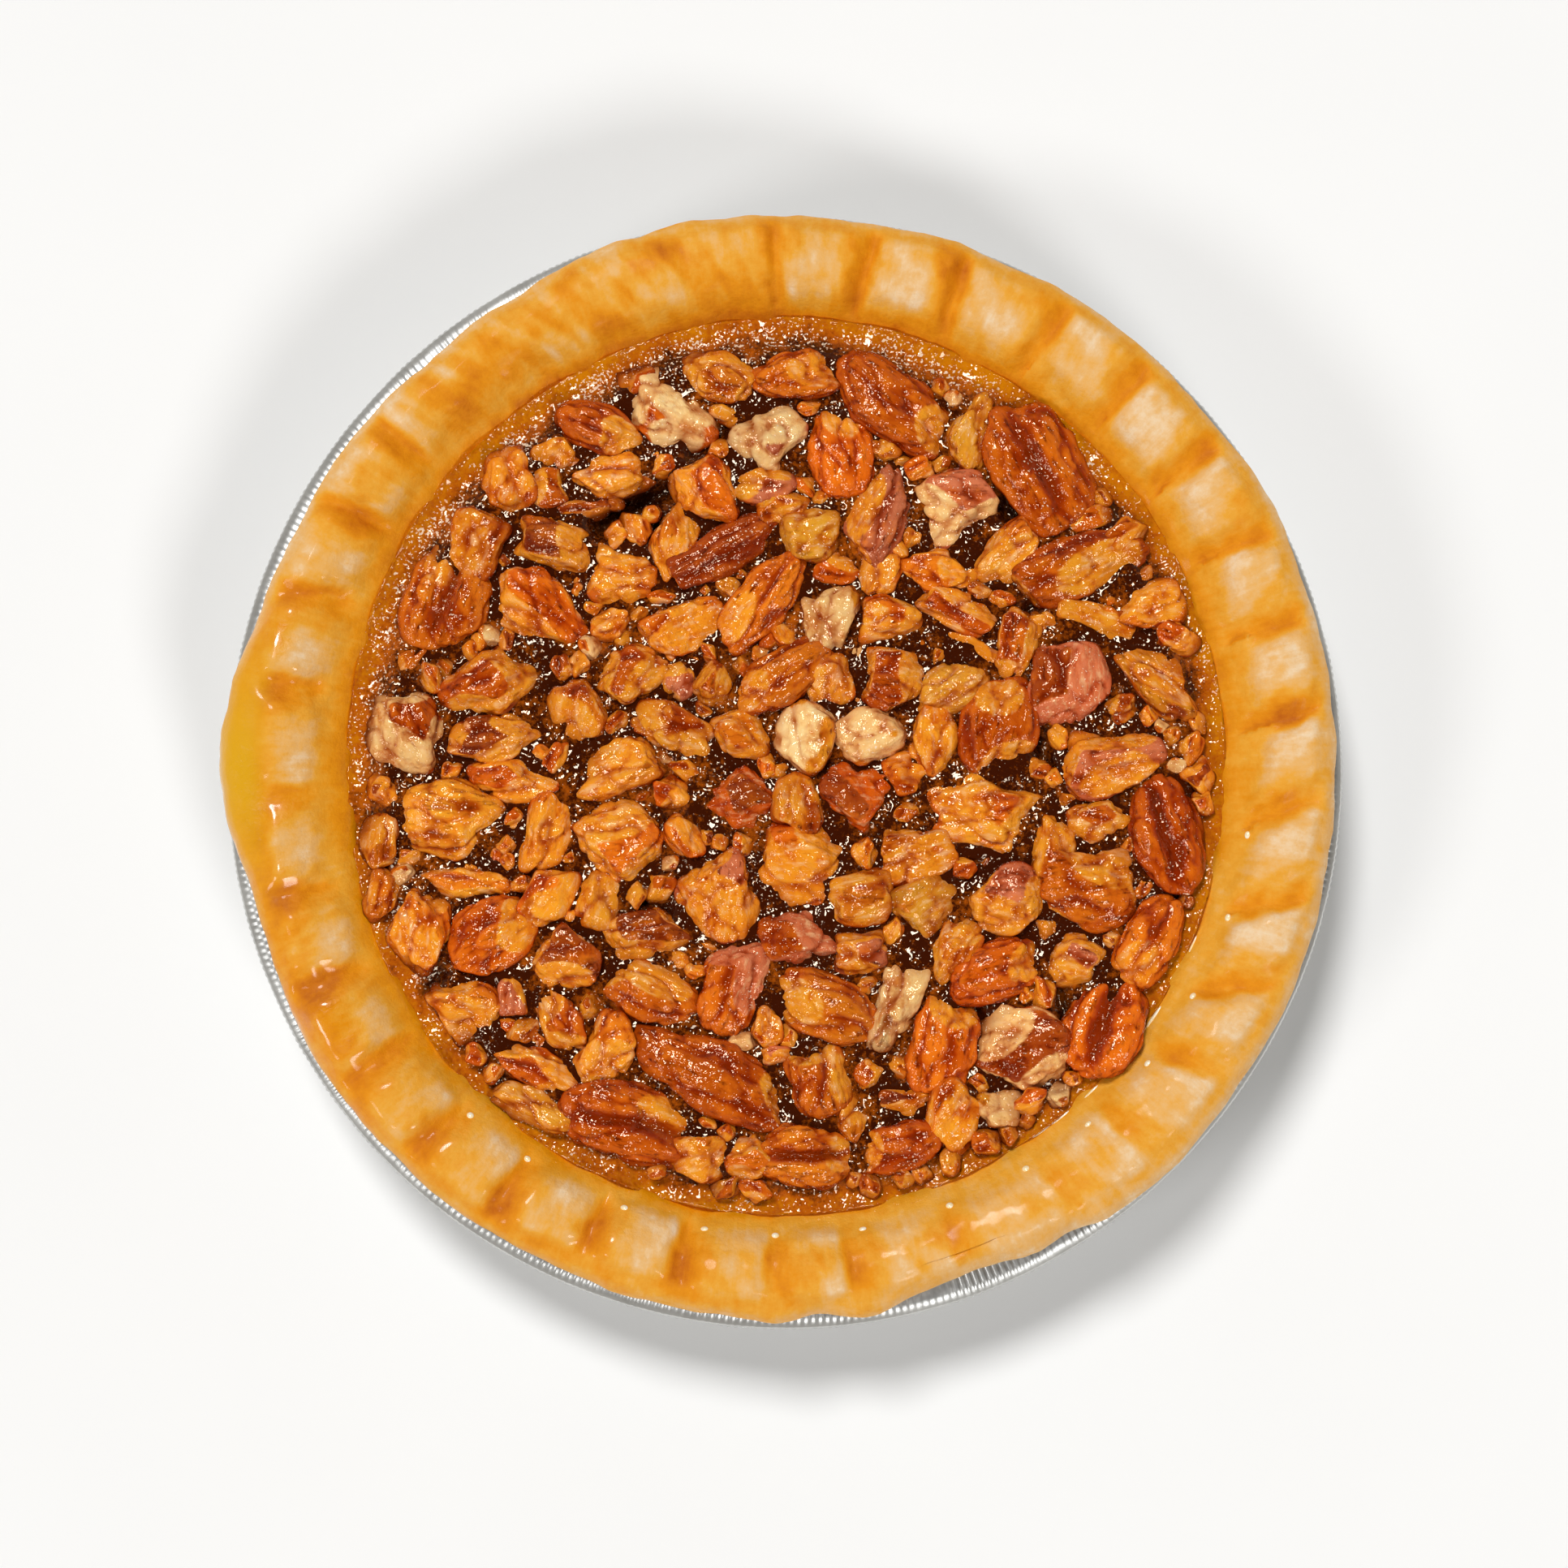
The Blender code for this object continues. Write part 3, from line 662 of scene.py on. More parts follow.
def flute_valleys(crest):
    """The bearings and depths of the valleys between flutes, from the crest's low points."""
    bearings, _, heights = crest
    before, after = np.roll(heights, 1), np.roll(heights, -1)
    low = (heights < before - 0.03 * MM) & (heights < after - 0.03 * MM)
    return bearings[low], heights.max() - heights[low]


def pastry_material(settings):
    """Baked shortcrust: matt and short, brushed with syrup in places, browner where it is thin."""
    material, tree = new_material(
        "baked_shortcrust", IOR=1.45, Specular_IOR_Level=0.2, Coat_Roughness=0.12, Coat_IOR=1.48
    )
    place = add_node(tree, "TexCoord", output="Object")
    ray = add_node(tree, "Attribute", output="Vector", attribute_name="ray")
    shift, wet, yellow = (
        add_node(tree, "Attribute", output="Fac", attribute_name=name) for name in ("bake_and_light", "wet", "yellow")
    )
    blotch, crumb, streak, fleck = (
        add_node(
            tree, "TexNoise",
            {"Vector": vector, "Scale": 1.0 / (size * MM), "Detail": detail, "Roughness": rough},
        )
        for vector, size, detail, rough in (
            (place, 6.0, 5.0, 0.6), (place, 1.7, 4.0, 0.65), (ray, 1.5, 5.0, 0.6), (place, 0.7, 2.0, 0.5),
        )
    )
    for pattern, weight in ((blotch, 0.36), (crumb, 0.32), (streak, 0.3)):
        shift = add_node(tree, "Math", {0: pattern, 1: weight, 2: shift}, operation="MULTIPLY_ADD")
    shift = add_node(tree, "Math", {0: shift, 1: 0.49}, operation="SUBTRACT")
    # The rim's attribute carries painted light and shade as well as browning, so this ramp paints them too
    bakes = (settings.pale, settings.straw, settings.gold, settings.amber, settings.brown, settings.dark)
    tint = add_node(tree, "ValToRGB", {"Fac": shift}, stops=list(zip((0.0, 0.2, 0.4, 0.6, 0.8, 1.0), bakes)))
    tint = add_node(tree, "Mix", {0: yellow, 6: tint, 7: settings.olive}, 2, data_type="RGBA")
    dry = add_node(tree, "MapRange", {"Value": crumb, "To Min": 0.5, "To Max": 0.75})
    rough = add_node(tree, "Mix", {0: wet, 2: dry, 3: 0.3})
    coarse = add_node(tree, "Bump", {"Height": crumb, "Strength": 0.6, "Distance": 0.4 * MM})
    fine = add_node(tree, "Bump", {"Height": fleck, "Strength": 0.4, "Distance": 0.14 * MM, "Normal": coarse})
    return link_shader(material, Base_Color=tint, Coat_Weight=wet, Roughness=rough, Normal=fine)


def flute_phase(bearings, rng):
    """How far up its flute each place lies and how deep in a valley, and the flute's share and number."""
    starts, depths = flute_valleys(crust_rings()["crest"])
    number = (np.searchsorted(starts, bearings % 360.0, side="right") - 1) % len(starts)
    following = (number + 1) % len(starts)
    after = (bearings - starts[number]) % 360.0
    before = (starts[following] - bearings) % 360.0
    slope = read_round(FLUTE_FALL, bearings)
    slope = np.minimum(slope * rng.uniform(0.8, 1.2, len(starts))[number], 0.5 * (after + before))
    rise = smooth(-0.3, 2.4, after)
    fall = smooth(0.0, slope, before)
    dip = depths[number] * (1.0 - rise) + depths[following] * (1.0 - fall)
    # The line darkens each valley's groove, partly from baking and partly as painted shade
    line = depths[number] * bell(after, 0.0, 0.9) + depths[following] * bell(before, 0.0, 2.2)
    # Painted light: the lit part of each flute, leaving out the side that falls away from the light
    light = smooth(0.3, 1.5, after) * smooth(1.2, 2.2 + 1.2 * slope, before)
    return {
        "up": rise * fall**1.3, "light": light, "dip": dip, "line": line / depths.max(),
        "share": after / (after + before), "number": number,
    }


def rim_sections(bearings):
    """The rim's rounded section at each bearing, before the flutes are pressed into it."""
    rings = crust_rings()
    under, lip, crest, edge = (ring_at(ring, bearings) for ring in rings.values())
    ground = crest[1].max() - FLUTE_HEIGHT
    south = bell(bearings, 172.0, 30.0)
    circle = polar(bearings, 105.0 * MM, 0.0)
    flap = noise_at(circle, 8.0 * MM, 21) * south
    lip_r = lip[0] + flap * 1.3 * MM + noise_at(circle, 7.0 * MM, 22) * 0.3 * MM
    lip_r = lip_r - 1.1 * MM * bell(bearings, 159.0, 7.0)
    wave = noise_at(circle, 16.0 * MM, 23) * 0.3 * MM
    knots = [
        (under[0], under[1]),
        (lip_r - 0.3 * MM, under[1] + 0.9 * MM),
        (lip_r, lip[1] + flap * 0.9 * MM),
        (lip_r - 0.7 * MM, ground - 2.9 * MM + flap * 0.6 * MM),
        (lip_r - 2.3 * MM, ground - 1.15 * MM + wave),
        (lip_r - 4.8 * MM, ground - 0.25 * MM + wave),
        (100.3 * MM, ground + wave),
        (97.2 * MM, ground - 0.45 * MM + wave),
        (94.2 * MM, ground - 1.7 * MM),
        (edge[0] * 0.5 + 94.2 * 0.5 * MM, edge[1] * 0.5 + ground * 0.5 - 0.6 * MM),
        (edge[0], edge[1]),
        (edge[0] - 2.0 * MM, edge[1] - 4.0 * MM),
    ]
    return np.stack([np.stack(np.broadcast_arrays(*knot, bearings)[:2], axis=-1) for knot in knots], axis=1)


def press_flutes(curve, points, bearing, along, rng):
    """Press the flutes into the rim's section, and return how they lie at each point."""
    radii = curve[..., 0]
    # The flutes were pressed by hand, so their lines wander, and lean over on the right
    lean = 3.2 * bell(bearing, 108.0, 26.0) + 0.8 * bell(bearing, 290.0, 15.0)
    wander = 0.55 * noise_at(points, 6.0 * MM, 41) + 0.25 * noise_at(points, 2.6 * MM, 42)
    flute = flute_phase(bearing - lean * (103.0 * MM - radii) / (9.0 * MM) + wander, rng)
    number = flute["number"]
    jitter = rng.uniform(-1.0, 1.0, (4, number.max() + 1))[:, number]
    # One long stretch at the back left has no flutes
    smear = smooth(309.0, 318.0, bearing) - smooth(352.0, 360.0, bearing)
    slant = 4.4 * bell(bearing, 72.0, 40.0) + 0.6
    inner = 90.3 + slant * (1.0 - flute["share"]) * (1.0 - smear) + jitter[1]
    inner = (inner + 0.8 * noise_at(points, 5.0 * MM, 43)) * MM
    outer = read_round(FLUTE_REACH_MM, bearing) + 0.5 * jitter[2]
    outer = (outer + 0.5 * noise_at(points, 5.0 * MM, 44)) * MM
    window = smooth(inner - (1.6 + smear) * MM, inner + (2.6 + 2.0 * smear) * MM, radii)
    window *= (1.0 - smooth(outer - 2.2 * MM, outer + 1.0 * MM, radii)) * smooth(2.4, 3.2, along)
    # Along the front the flutes were pressed only lightly
    firm = 1.0 - 0.55 * bell(bearing, 145.0, 28.0)
    height = FLUTE_HEIGHT + jitter[0] * 0.22 * MM * flute["up"] - FLUTE_DEPTH_SHARE * firm * flute["dip"]
    curve[..., 1] += window * height
    # Pale on the lit part of each flute, partly floury dough and partly painted light; the valley line is
    # browner, partly painted shade
    pale = flute["light"] * window * (1.0 - smear) * (1.0 + 0.14 * jitter[3])
    return {"window": window, "smear": smear, "pale": pale, "line": flute["line"] * firm * window}


def lumpy_rim(curve, points, bearing, along, flute, lump):
    """The rim's section with the dough's lumps, and low slanting folds where it has no flutes."""
    tangent = np.gradient(curve, axis=1)
    normal = np.stack((tangent[..., 1], -tangent[..., 0]), axis=-1)
    normal /= np.linalg.norm(normal, axis=-1, keepdims=True) + 1e-12
    shown = smooth(0.5, 2.0, along) * (1.0 - smooth(10.2, 10.8, along))
    lumps = 1.5 * noise_at(points, 12.0 * MM, 1) + 0.75 * noise_at(points, 4.5 * MM, 2)
    lumps += 0.34 * noise_at(points, 2.0 * MM, 3)
    run = bearing * 1.75 * MM + (curve[..., 0] - 95.0 * MM) * 0.8
    slanted = np.stack(np.broadcast_arrays(run, curve[..., 0] * 0.25, 0.0), axis=-1)
    folds = noise_at(slanted, 8.0 * MM, 8) * flute["smear"] * 0.9 * MM
    return curve + normal * ((lumps * lump + folds) * shown)[..., None]


class PIE_OT_crust(bpy.types.Operator):
    """Make the fluted crust"""

    bl_idname = "pie.crust"
    bl_label = "Crust"

    def execute(self, context):
        settings = context.scene.pie_crust
        steps = settings.steps
        bearings = np.arange(steps) * 360.0 / steps
        curve = catmull_rom(rim_sections(bearings), CRUST_SPANS)
        along = [number + step / count for number, count in enumerate(CRUST_SPANS) for step in range(count)]
        along = np.array((*along, len(CRUST_SPANS)))
        bearing = bearings[:, None] + np.zeros_like(curve[..., 0])
        points = polar(bearing, curve[..., 0], curve[..., 1])
        flute = press_flutes(curve, points, bearing, along, np.random.default_rng(11))
        curve = lumpy_rim(curve, points, bearing, along, flute, settings.lump)
        under, floor = (
            [polar(bearings, radius, height)[:, None, :] for radius, height in rows]
            for rows in (CRUST_UNDERSIDE, CRUST_FLOOR)
        )
        points = np.concatenate((*under, polar(bearing, curve[..., 0], curve[..., 1]), *floor), axis=1)
        bm = turned_bmesh(points.shape[1], steps)
        placed = place_rings(bm, points)
        attributes = {}
        for key, values in rim_attributes(curve, bearing, along, flute).items():
            ends = ((0, 0), (len(under), len(floor)), (0, 0))[: values.ndim]
            attributes[key] = np.pad(values, ends, mode="edge")[placed]
        add_piece(bm, "pastry_crust", pastry_material(settings), ["crust"], attributes)
        return {"FINISHED"}


def glint_bead_material():
    """Small beads of syrup painted pale cream as highlights, which also shine."""
    material, tree = new_material(
        "painted_glint_syrup", IOR=1.49, Specular_IOR_Level=0.4, Coat_Weight=1.0, Coat_Roughness=0.06, Coat_IOR=1.55
    )
    place = add_node(tree, "TexCoord", output="Object")
    cloud = add_node(tree, "TexNoise", {"Vector": place, "Scale": 1.0 / (1.5 * MM), "Detail": 3.0})
    # Painted highlight: the beads are coloured pale cream to stand for glints
    amber = add_node(tree, "ValToRGB", {"Fac": cloud}, stops=((0.35, "#FFE2A0"), (0.6, "#FFF4D8")))
    rough = add_node(tree, "MapRange", {"Value": cloud, "To Min": 0.12, "To Max": 0.25})
    bump = add_node(tree, "Bump", {"Height": cloud, "Strength": 0.3, "Distance": 0.1 * MM})
    return link_shader(material, Base_Color=amber, Roughness=rough, Normal=bump)


class PIE_OT_glint_beads(bpy.types.Operator):
    """Make the pale beads of syrup on the front of the rim, which paint its highlights"""

    bl_idname = "pie.syrup"
    bl_label = "Syrup Beads"

    def execute(self, context):
        crust = context.scene.objects["pastry_crust"]
        rng = np.random.default_rng(17)
        bm = bmesh.new()
        for bearing, radius, length, width in GLINT_BEADS:
            bearing += rng.uniform(-0.3, 0.3)
            above = Vector(polar(bearing, radius * MM, ABOVE_RIM))
            hit, place, slope, _ = crust.ray_cast(above, Vector((0.0, 0.0, -1.0)))
            if not hit:
                raise RuntimeError("A bead of syrup misses the crust")
            aside = slope.cross(Vector(polar(bearing + 90.0, 1.0, 0.0))).normalized()
            turn = Matrix((aside.cross(slope), aside, slope)).transposed().to_4x4()
            wide = width * MM * rng.uniform(0.85, 1.15)
            shape = Matrix.Translation(place) @ turn @ Matrix.Diagonal((length * MM, wide, 0.6 * wide, 1.0))
            bmesh.ops.create_icosphere(bm, subdivisions=3, radius=1.0, matrix=shape)
        add_piece(bm, "painted_glint_beads", glint_bead_material())
        return {"FINISHED"}


def rim_bake_and_light(bearing, radii):
    """The value of RIM_BAKE_AND_LIGHT at each place, drawn smoothly between its bearings and radii."""
    turns = np.arange(0.0, 360.0, 30.0)
    rings = [np.interp(bearing, turns, values, period=360.0) for _, values in RIM_BAKE_AND_LIGHT]
    reach = np.array([radius for radius, _ in RIM_BAKE_AND_LIGHT]) * MM
    tone = rings[0]
    for inner, outer, values in zip(reach, reach[1:], rings[1:]):
        tone = tone + (values - tone) * np.clip((radii - inner) / (outer - inner), 0.0, 1.0)
    return tone


def rim_attributes(curve, bearing, along, flute):
    """How baked the rim is at each point, with painted light and shade in it, how wet and how yellow, and
    where its streaks lie.
    """
    radii, window, smear = curve[..., 0], flute["window"], flute["smear"]
    points = polar(bearing, radii, curve[..., 1])
    patch = noise_at(points, 8.0 * MM, 31)
    small = noise_at(points, 3.4 * MM, 33)
    run = np.stack(np.broadcast_arrays(bearing * 1.7 * MM + radii * 0.5, radii * 0.22, 0.0), axis=-1)
    streak = noise_at(run, 1.6 * MM, 32)
    north = facing(bearing, 0.0)
    lip = 1.0 - smooth(3.0, 4.6, along)
    inner_slope = smooth(7.6, 9.0, along) * (1.0 - 0.7 * window)
    near_filling = smooth(9.0, 9.85, along)
    # Paler on the lit part of each flute, partly floury dough and partly painted light
    bake_and_light = 0.49 - 0.28 * flute["pale"] * (1.0 + 0.8 * patch + 0.8 * small)
    # Browner along the valley lines, partly from baking and partly painted shade in the grooves
    bake_and_light += (0.22 + 0.06 * facing(bearing, 50.0)) * flute["line"]
    # A paler lip, paler still on the north side as painted light
    bake_and_light -= 0.24 * lip * (1.0 + 0.8 * patch) * (0.8 + 0.2 * north)
    # Browner on the inner wall and next to the filling, and more so to the north as painted shade, where the
    # wall faces away from the light
    bake_and_light += 0.03 * north * inner_slope + (0.15 + 0.09 * north) * near_filling
    # The rim's table adds browning and painted light and shade, with a painted highlight at the front of the
    # filling's edge
    bake_and_light += rim_bake_and_light(bearing, radii)
    bake_and_light += smear * (0.13 * patch + 0.10 * small + 0.07 * streak - 0.05 * window)
    bake_and_light += 0.07 * patch + 0.07 * small + 0.09 * streak * window
    bake_and_light += spot_sum(BROWN_SPOTS, bearing, radii)
    south = 0.5 - 0.5 * facing(bearing, 20.0)
    wet = 0.7 * near_filling * south + spot_sum(WET_SPOTS, bearing, radii)
    wet += 0.12 * south * (1.0 + 2.0 * small)
    wet *= 1.0 - 0.8 * np.clip(flute["line"], 0.0, 1.0)
    yellow = bell(bearing, 270.0, 11.0) * smooth(99.0 * MM, 105.0 * MM, radii)
    yellow = yellow + 0.14 * inner_slope * (0.5 - 0.5 * facing(bearing, 10.0))
    # Streaks run along the flutes, so their pattern lies on a circle and is drawn out along the radius
    ray = polar(bearing, 0.1, radii * 0.2)
    limits = (("bake_and_light", bake_and_light, 0.12, 0.9), ("wet", wet, 0.0, 1.0), ("yellow", yellow, 0.0, 1.0))
    return {"ray": ray, **{key: np.clip(values, low, high) for key, values, low, high in limits}}


# ---------------------------------------------------------------------------------------------
# The pecans
# ---------------------------------------------------------------------------------------------


def pecan_from_node(name, look, seed):
    """A pecan piece with the place, size and heading of a CAD node."""
    points = node_points(name)
    centre = (points.min(axis=0) + points.max(axis=0)) / 2.0
    flat = points[:, :2] - points[:, :2].mean(axis=0)
    _, axes = np.linalg.eigh(flat.T @ flat)
    heading = math.atan2(axes[1, 1], axes[0, 1])
    turn = np.array(Matrix.Rotation(heading, 2))
    turned = points[:, :2] @ turn
    low, high = turned.min(axis=0), turned.max(axis=0)
    centre[:2] = turn @ ((low + high) / 2.0)
    size = (*((high - low) * PECAN_SWELL), np.ptp(points[:, 2]))
    skin, flesh, bare, side = look
    kind = name.split("_")[1]
    return Pecan(kind, centre, size, heading, skin, flesh, bare, math.radians(side), seed)


def bed_pecans():
    """The pecan pieces that are CAD nodes, as {node: piece}."""
    pieces = {}
    for kind, looks in LOOKS.items():
        for number, look in enumerate(looks, start=1):
            name = f"pecan_{kind}_{number:02d}"
            pieces[name] = pecan_from_node(name, look, 100 * len(pieces) + 7)
    return pieces


def bed_bits():
    """The smaller pecan pieces, set between the nodes at the filling's surface."""
    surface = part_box("filling")[1].z
    rng = np.random.default_rng(23)
    swell = PECAN_SWELL * MM
    pieces = []
    for number, (x, y, length, width, heading, colour) in enumerate(BITS):
        thick = float(np.clip(0.85 * width, 4.5, 8.5))
        lift = rng.uniform(0.0, 1.3) + 0.06 * thick
        centre = np.array((x * MM + BED_CENTRE[0], y * MM + BED_CENTRE[1], surface + lift * MM))
        bare = 0.85 if colour in FLESH_COLOURS else rng.uniform(0.05, 0.35)
        skin = {"gold": "honey", "cream": "gold", "olive": "olive"}.get(colour, colour)
        flesh = colour if colour in FLESH_COLOURS else "gold"
        pieces.append(
            Pecan("chunk", centre, (length * swell, width * swell, thick * MM), math.radians(heading),
                  skin, flesh, bare, rng.uniform(0.0, math.tau), FIRST_BIT_SEED + number)
        )
    return pieces


def kernel_cuts(piece, rng):
    """The broken faces of a piece, as unit normals and distances in its own half sizes."""
    cuts = []
    if piece.bare > 0.05:
        rise = math.radians(rng.uniform(35, 55) + 18 * piece.bare)
        cuts.append((piece.side - piece.heading, rise, 0.86 - 0.34 * piece.bare))
    start = rng.uniform(0, math.tau)
    breaks = KINDS[piece.kind].breaks
    for number in range(breaks):
        turn = start + math.tau * number / breaks + rng.uniform(-0.5, 0.5)
        if piece.kind == "half":
            turn = rng.choice((0.0, math.pi)) + rng.uniform(-0.5, 0.5)
        cuts.append((turn, math.radians(rng.uniform(-5, 35)), rng.uniform(0.66, 0.9)))
    return [
        (
            np.array((math.cos(turn) * math.cos(rise), math.sin(turn) * math.cos(rise), math.sin(rise))),
            distance,
        )
        for turn, rise, distance in cuts
    ]


def cracks(points, size, width, seed):
    """Thin winding lines, one along their middles and zero away from them."""
    return np.clip(1.0 - np.abs(noise_at(points, size, seed)) / width, 0.0, 1.0)


def kernel_points(sphere, piece, wrinkle):
    """Points of one pecan piece in its own frame, with how bare and how creased each one is."""
    rng = np.random.default_rng(piece.seed)
    half = np.array(piece.size) / 2.0
    kind = KINDS[piece.kind]
    whole = np.sum(np.abs(sphere) ** kind.fullness, axis=1) ** (-1.0 / kind.fullness)
    sharpness = 15.0
    inverse = whole**-sharpness
    cut = np.zeros(len(sphere))
    for normal, distance in kernel_cuts(piece, rng):
        part = (distance / np.clip(sphere @ normal, 1e-3, None)) ** -sharpness
        inverse += part
        cut += part
    radius = inverse ** (-1.0 / sharpness)
    bare = smooth(0.25, 0.75, cut / inverse)
    # Big lobes and notches make each outline its own
    seed = piece.seed % NOISE_SEEDS
    rough_size = sphere * radius[:, None] * half
    lobe = min(0.42 * piece.size[0], 7.5 * MM)
    bulge = 0.17 * noise_at(rough_size, lobe, seed) + 0.05 * noise_at(rough_size, 0.45 * lobe, seed + 5)
    radius *= 1.0 + bulge
    points = sphere * radius[:, None] * half
    # Creases run from end to end of the kernel and fade towards its tips
    around = np.arctan2(points[:, 1] / half[1], points[:, 2] / half[2])
    tip = np.clip(1.0 - (np.abs(points[:, 0]) / half[0]) ** 3, 0.0, 1.0)
    wander = noise_at(points * np.array((0.4, 1.0, 1.0)), 3.0 * MM, seed + 1)
    fold = np.abs(np.sin(0.5 * kind.lobes * around + 1.3 * wander + rng.uniform(0, 3)))
    crease = (1.0 - fold**0.5) * tip * (1.0 - 0.8 * bare)
    depth = 1.2 * wrinkle * crease
    wide = cracks(points * np.array((0.6, 1.0, 1.0)), 3.9 * MM, 0.26, seed + 2)
    thin = cracks(points, 2.0 * MM, 0.24, seed + 3)
    small = min(1.0, piece.size[1] / (9.0 * MM))
    depth += (0.62 * wide + 0.26 * thin) * small * MM
    crease = np.clip(0.85 * crease + 0.5 * wide * small + 0.3 * thin, 0.0, 1.0)
    if piece.kind == "cup":
        middle = points[:, 1] / half[1] + 0.1 * wander
        groove = bell(middle, 0.0, 0.2) * smooth(0.1, 0.5, points[:, 2] / half[2])
        groove *= np.clip(1.15 - (np.abs(points[:, 0]) / half[0]) ** 2, 0.0, 1.0)
        depth = depth + 0.42 * half[2] * groove
        crease = np.clip(crease + groove, 0.0, 1.0)
    grain = noise_at(points * np.array((0.7, 1.0, 1.0)), 1.3 * MM, seed + 4)
    depth -= MM * (0.26 * bare + 0.18 * (1.0 - bare)) * grain
    points -= sphere * depth[:, None]
    low, high = points.min(axis=0), points.max(axis=0)
    points = (points - (low + high) / 2.0) * (2.0 * half) / (high - low)
    return points, bare, crease


def with_froth_and_glints(tree, colour, place, size, rare, often, froth_glint_spread=None):
    """A colour with pale specks of dried froth on it, which also stand as painted glints, thick in some
    places and thin in others.
    """
    speck = add_node(tree, "TexNoise", {"Vector": place, "Scale": 1.0 / size, "Detail": 1.0})
    cloud = add_node(tree, "TexNoise", {"Vector": place, "Scale": 1.0 / (14.0 * size), "Detail": 3.0})
    start = add_node(
        tree, "MapRange",
        {"Value": cloud, "From Min": 0.4, "From Max": 0.62, "To Min": rare, "To Max": often},
    )
    if froth_glint_spread is not None:
        start = add_node(tree, "Math", {0: froth_glint_spread, 1: -0.12, 2: start}, operation="MULTIPLY_ADD")
    over = add_node(tree, "Math", {0: speck, 1: start}, operation="SUBTRACT")
    share = add_node(tree, "MapRange", {"Value": over, "From Min": 0.0, "From Max": 0.06, "To Max": 0.8})
    return add_node(tree, "Mix", {0: share, 6: colour, 7: "#FFE6C8"}, 2, data_type="RGBA")


def pecan_material():
    """Pecan kernel glazed in syrup: streaked brown skin and pale oily flesh with a warm, lumpy shine."""
    name = "syrup_glazed_pecan"
    if name in bpy.data.materials:
        return bpy.data.materials[name]
    material, tree = new_material(name, IOR=1.48, Specular_IOR_Level=0.55, Specular_Tint=linear("#FFDFC2"))
    place = add_node(tree, "TexCoord", output="Object")
    grain = add_node(tree, "Attribute", output="Vector", attribute_name="grain")
    skin, flesh = (add_node(tree, "Attribute", attribute_name=name) for name in ("skin", "flesh"))
    bare, crease, side = (
        add_node(tree, "Attribute", output="Fac", attribute_name=name) for name in ("bare", "crease", "side")
    )
    along_grain = add_node(tree, "Mapping", {"Vector": grain, "Scale": (0.3, 1.0, 1.0)})
    streak, blotch, grit, syrup, pimples = (
        add_node(
            tree, "TexNoise",
            {"Vector": vector, "Scale": 1.0 / (size * MM), "Detail": detail, "Roughness": rough},
        )
        for vector, size, detail, rough in (
            (along_grain, 1.2, 5.0, 0.62), (grain, 4.0, 5.0, 0.62), (grain, 0.9, 3.0, 0.6),
            (grain, 1.6, 2.0, 0.5), (grain, 0.6, 1.0, 0.5),
        )
    )
    soaked, patch = (
        add_node(tree, "MapRange", {"Value": value, "From Min": low, "From Max": high, "To Max": most})
        for value, low, high, most in ((blotch, 0.5, 0.68, 0.6), (streak, 0.52, 0.7, 0.55))
    )
    # The skin runs from dark bran to syrup-soaked orange along the grain, and the flesh is blotched
    # with syrup where it isn't dry and pale
    tones = []
    for base, pattern, stops, share, overlay in (
        (skin, streak, ((0.3, "#7C4C30"), (0.46, "#F2EAE2"), (0.6, "#FFFFFF")), soaked, "#F58018"),
        (flesh, blotch, ((0.32, "#DCA06C"), (0.48, "#FFF0DC"), (0.64, "#FFFFFF")), patch, "#FFD49A"),
    ):
        shade = add_node(tree, "ValToRGB", {"Fac": pattern}, stops=stops)
        tone = add_node(tree, "Mix", {0: 1.0, 6: base, 7: shade}, 2, data_type="RGBA", blend_type="MULTIPLY")
        tones.append(add_node(tree, "Mix", {0: share, 6: tone, 7: overlay}, 2, data_type="RGBA"))
    ragged = add_node(tree, "Math", {0: streak, 1: 1.1, 2: bare}, operation="MULTIPLY_ADD")
    ragged = add_node(tree, "MapRange", {"Value": ragged, "From Min": 1.1, "From Max": 1.45})
    kernel = add_node(tree, "Mix", {0: ragged, 6: tones[0], 7: tones[1]}, 2, data_type="RGBA")
    # Painted shade: the kernel darkens down its steep sides and towards its outline, and in every crease and
    # round the foot of each piece, where it is partly syrup lying brown and partly painted shade, darkest at
    # the foot
    side = add_node(tree, "Math", {0: blotch, 1: 0.5, 2: side}, operation="MULTIPLY_ADD")
    side = add_node(tree, "MapRange", {"Value": side, "From Min": 0.35, "From Max": 1.3, "To Max": 0.9})
    syrup_and_shade = add_node(tree, "Math", {0: crease, 1: side}, operation="MAXIMUM")
    syrup_and_shade_share, creased = (
        add_node(tree, "MapRange", {"Value": syrup_and_shade, "From Min": low, "From Max": high, "To Max": most})
        for low, high, most in ((0.1, 0.75, 0.95), (0.35, 1.1, 0.72))
    )
    height = add_node(tree, "SeparateXYZ", {0: place}, output="Z")
    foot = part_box("filling")[1].z + 0.4 * MM
    sunk = add_node(
        tree, "MapRange",
        {"Value": height, "From Min": foot, "From Max": foot + 2.6 * MM, "To Min": 0.9, "To Max": 0.0},
    )
    syrup_and_shade_share = add_node(tree, "Math", {0: syrup_and_shade_share, 1: sunk}, operation="MAXIMUM")
    darkest = add_node(tree, "Math", {0: sunk, 1: 1.6}, operation="POWER")
    for share, colour, blend in (
        (syrup_and_shade_share, "#CC7832", "MULTIPLY"), (creased, "#602002", "MIX"), (darkest, "#4C1802", "MIX"),
    ):
        shades = {0: share, 6: kernel, 7: colour}
        kernel = add_node(tree, "Mix", shades, 2, data_type="RGBA", blend_type=blend)
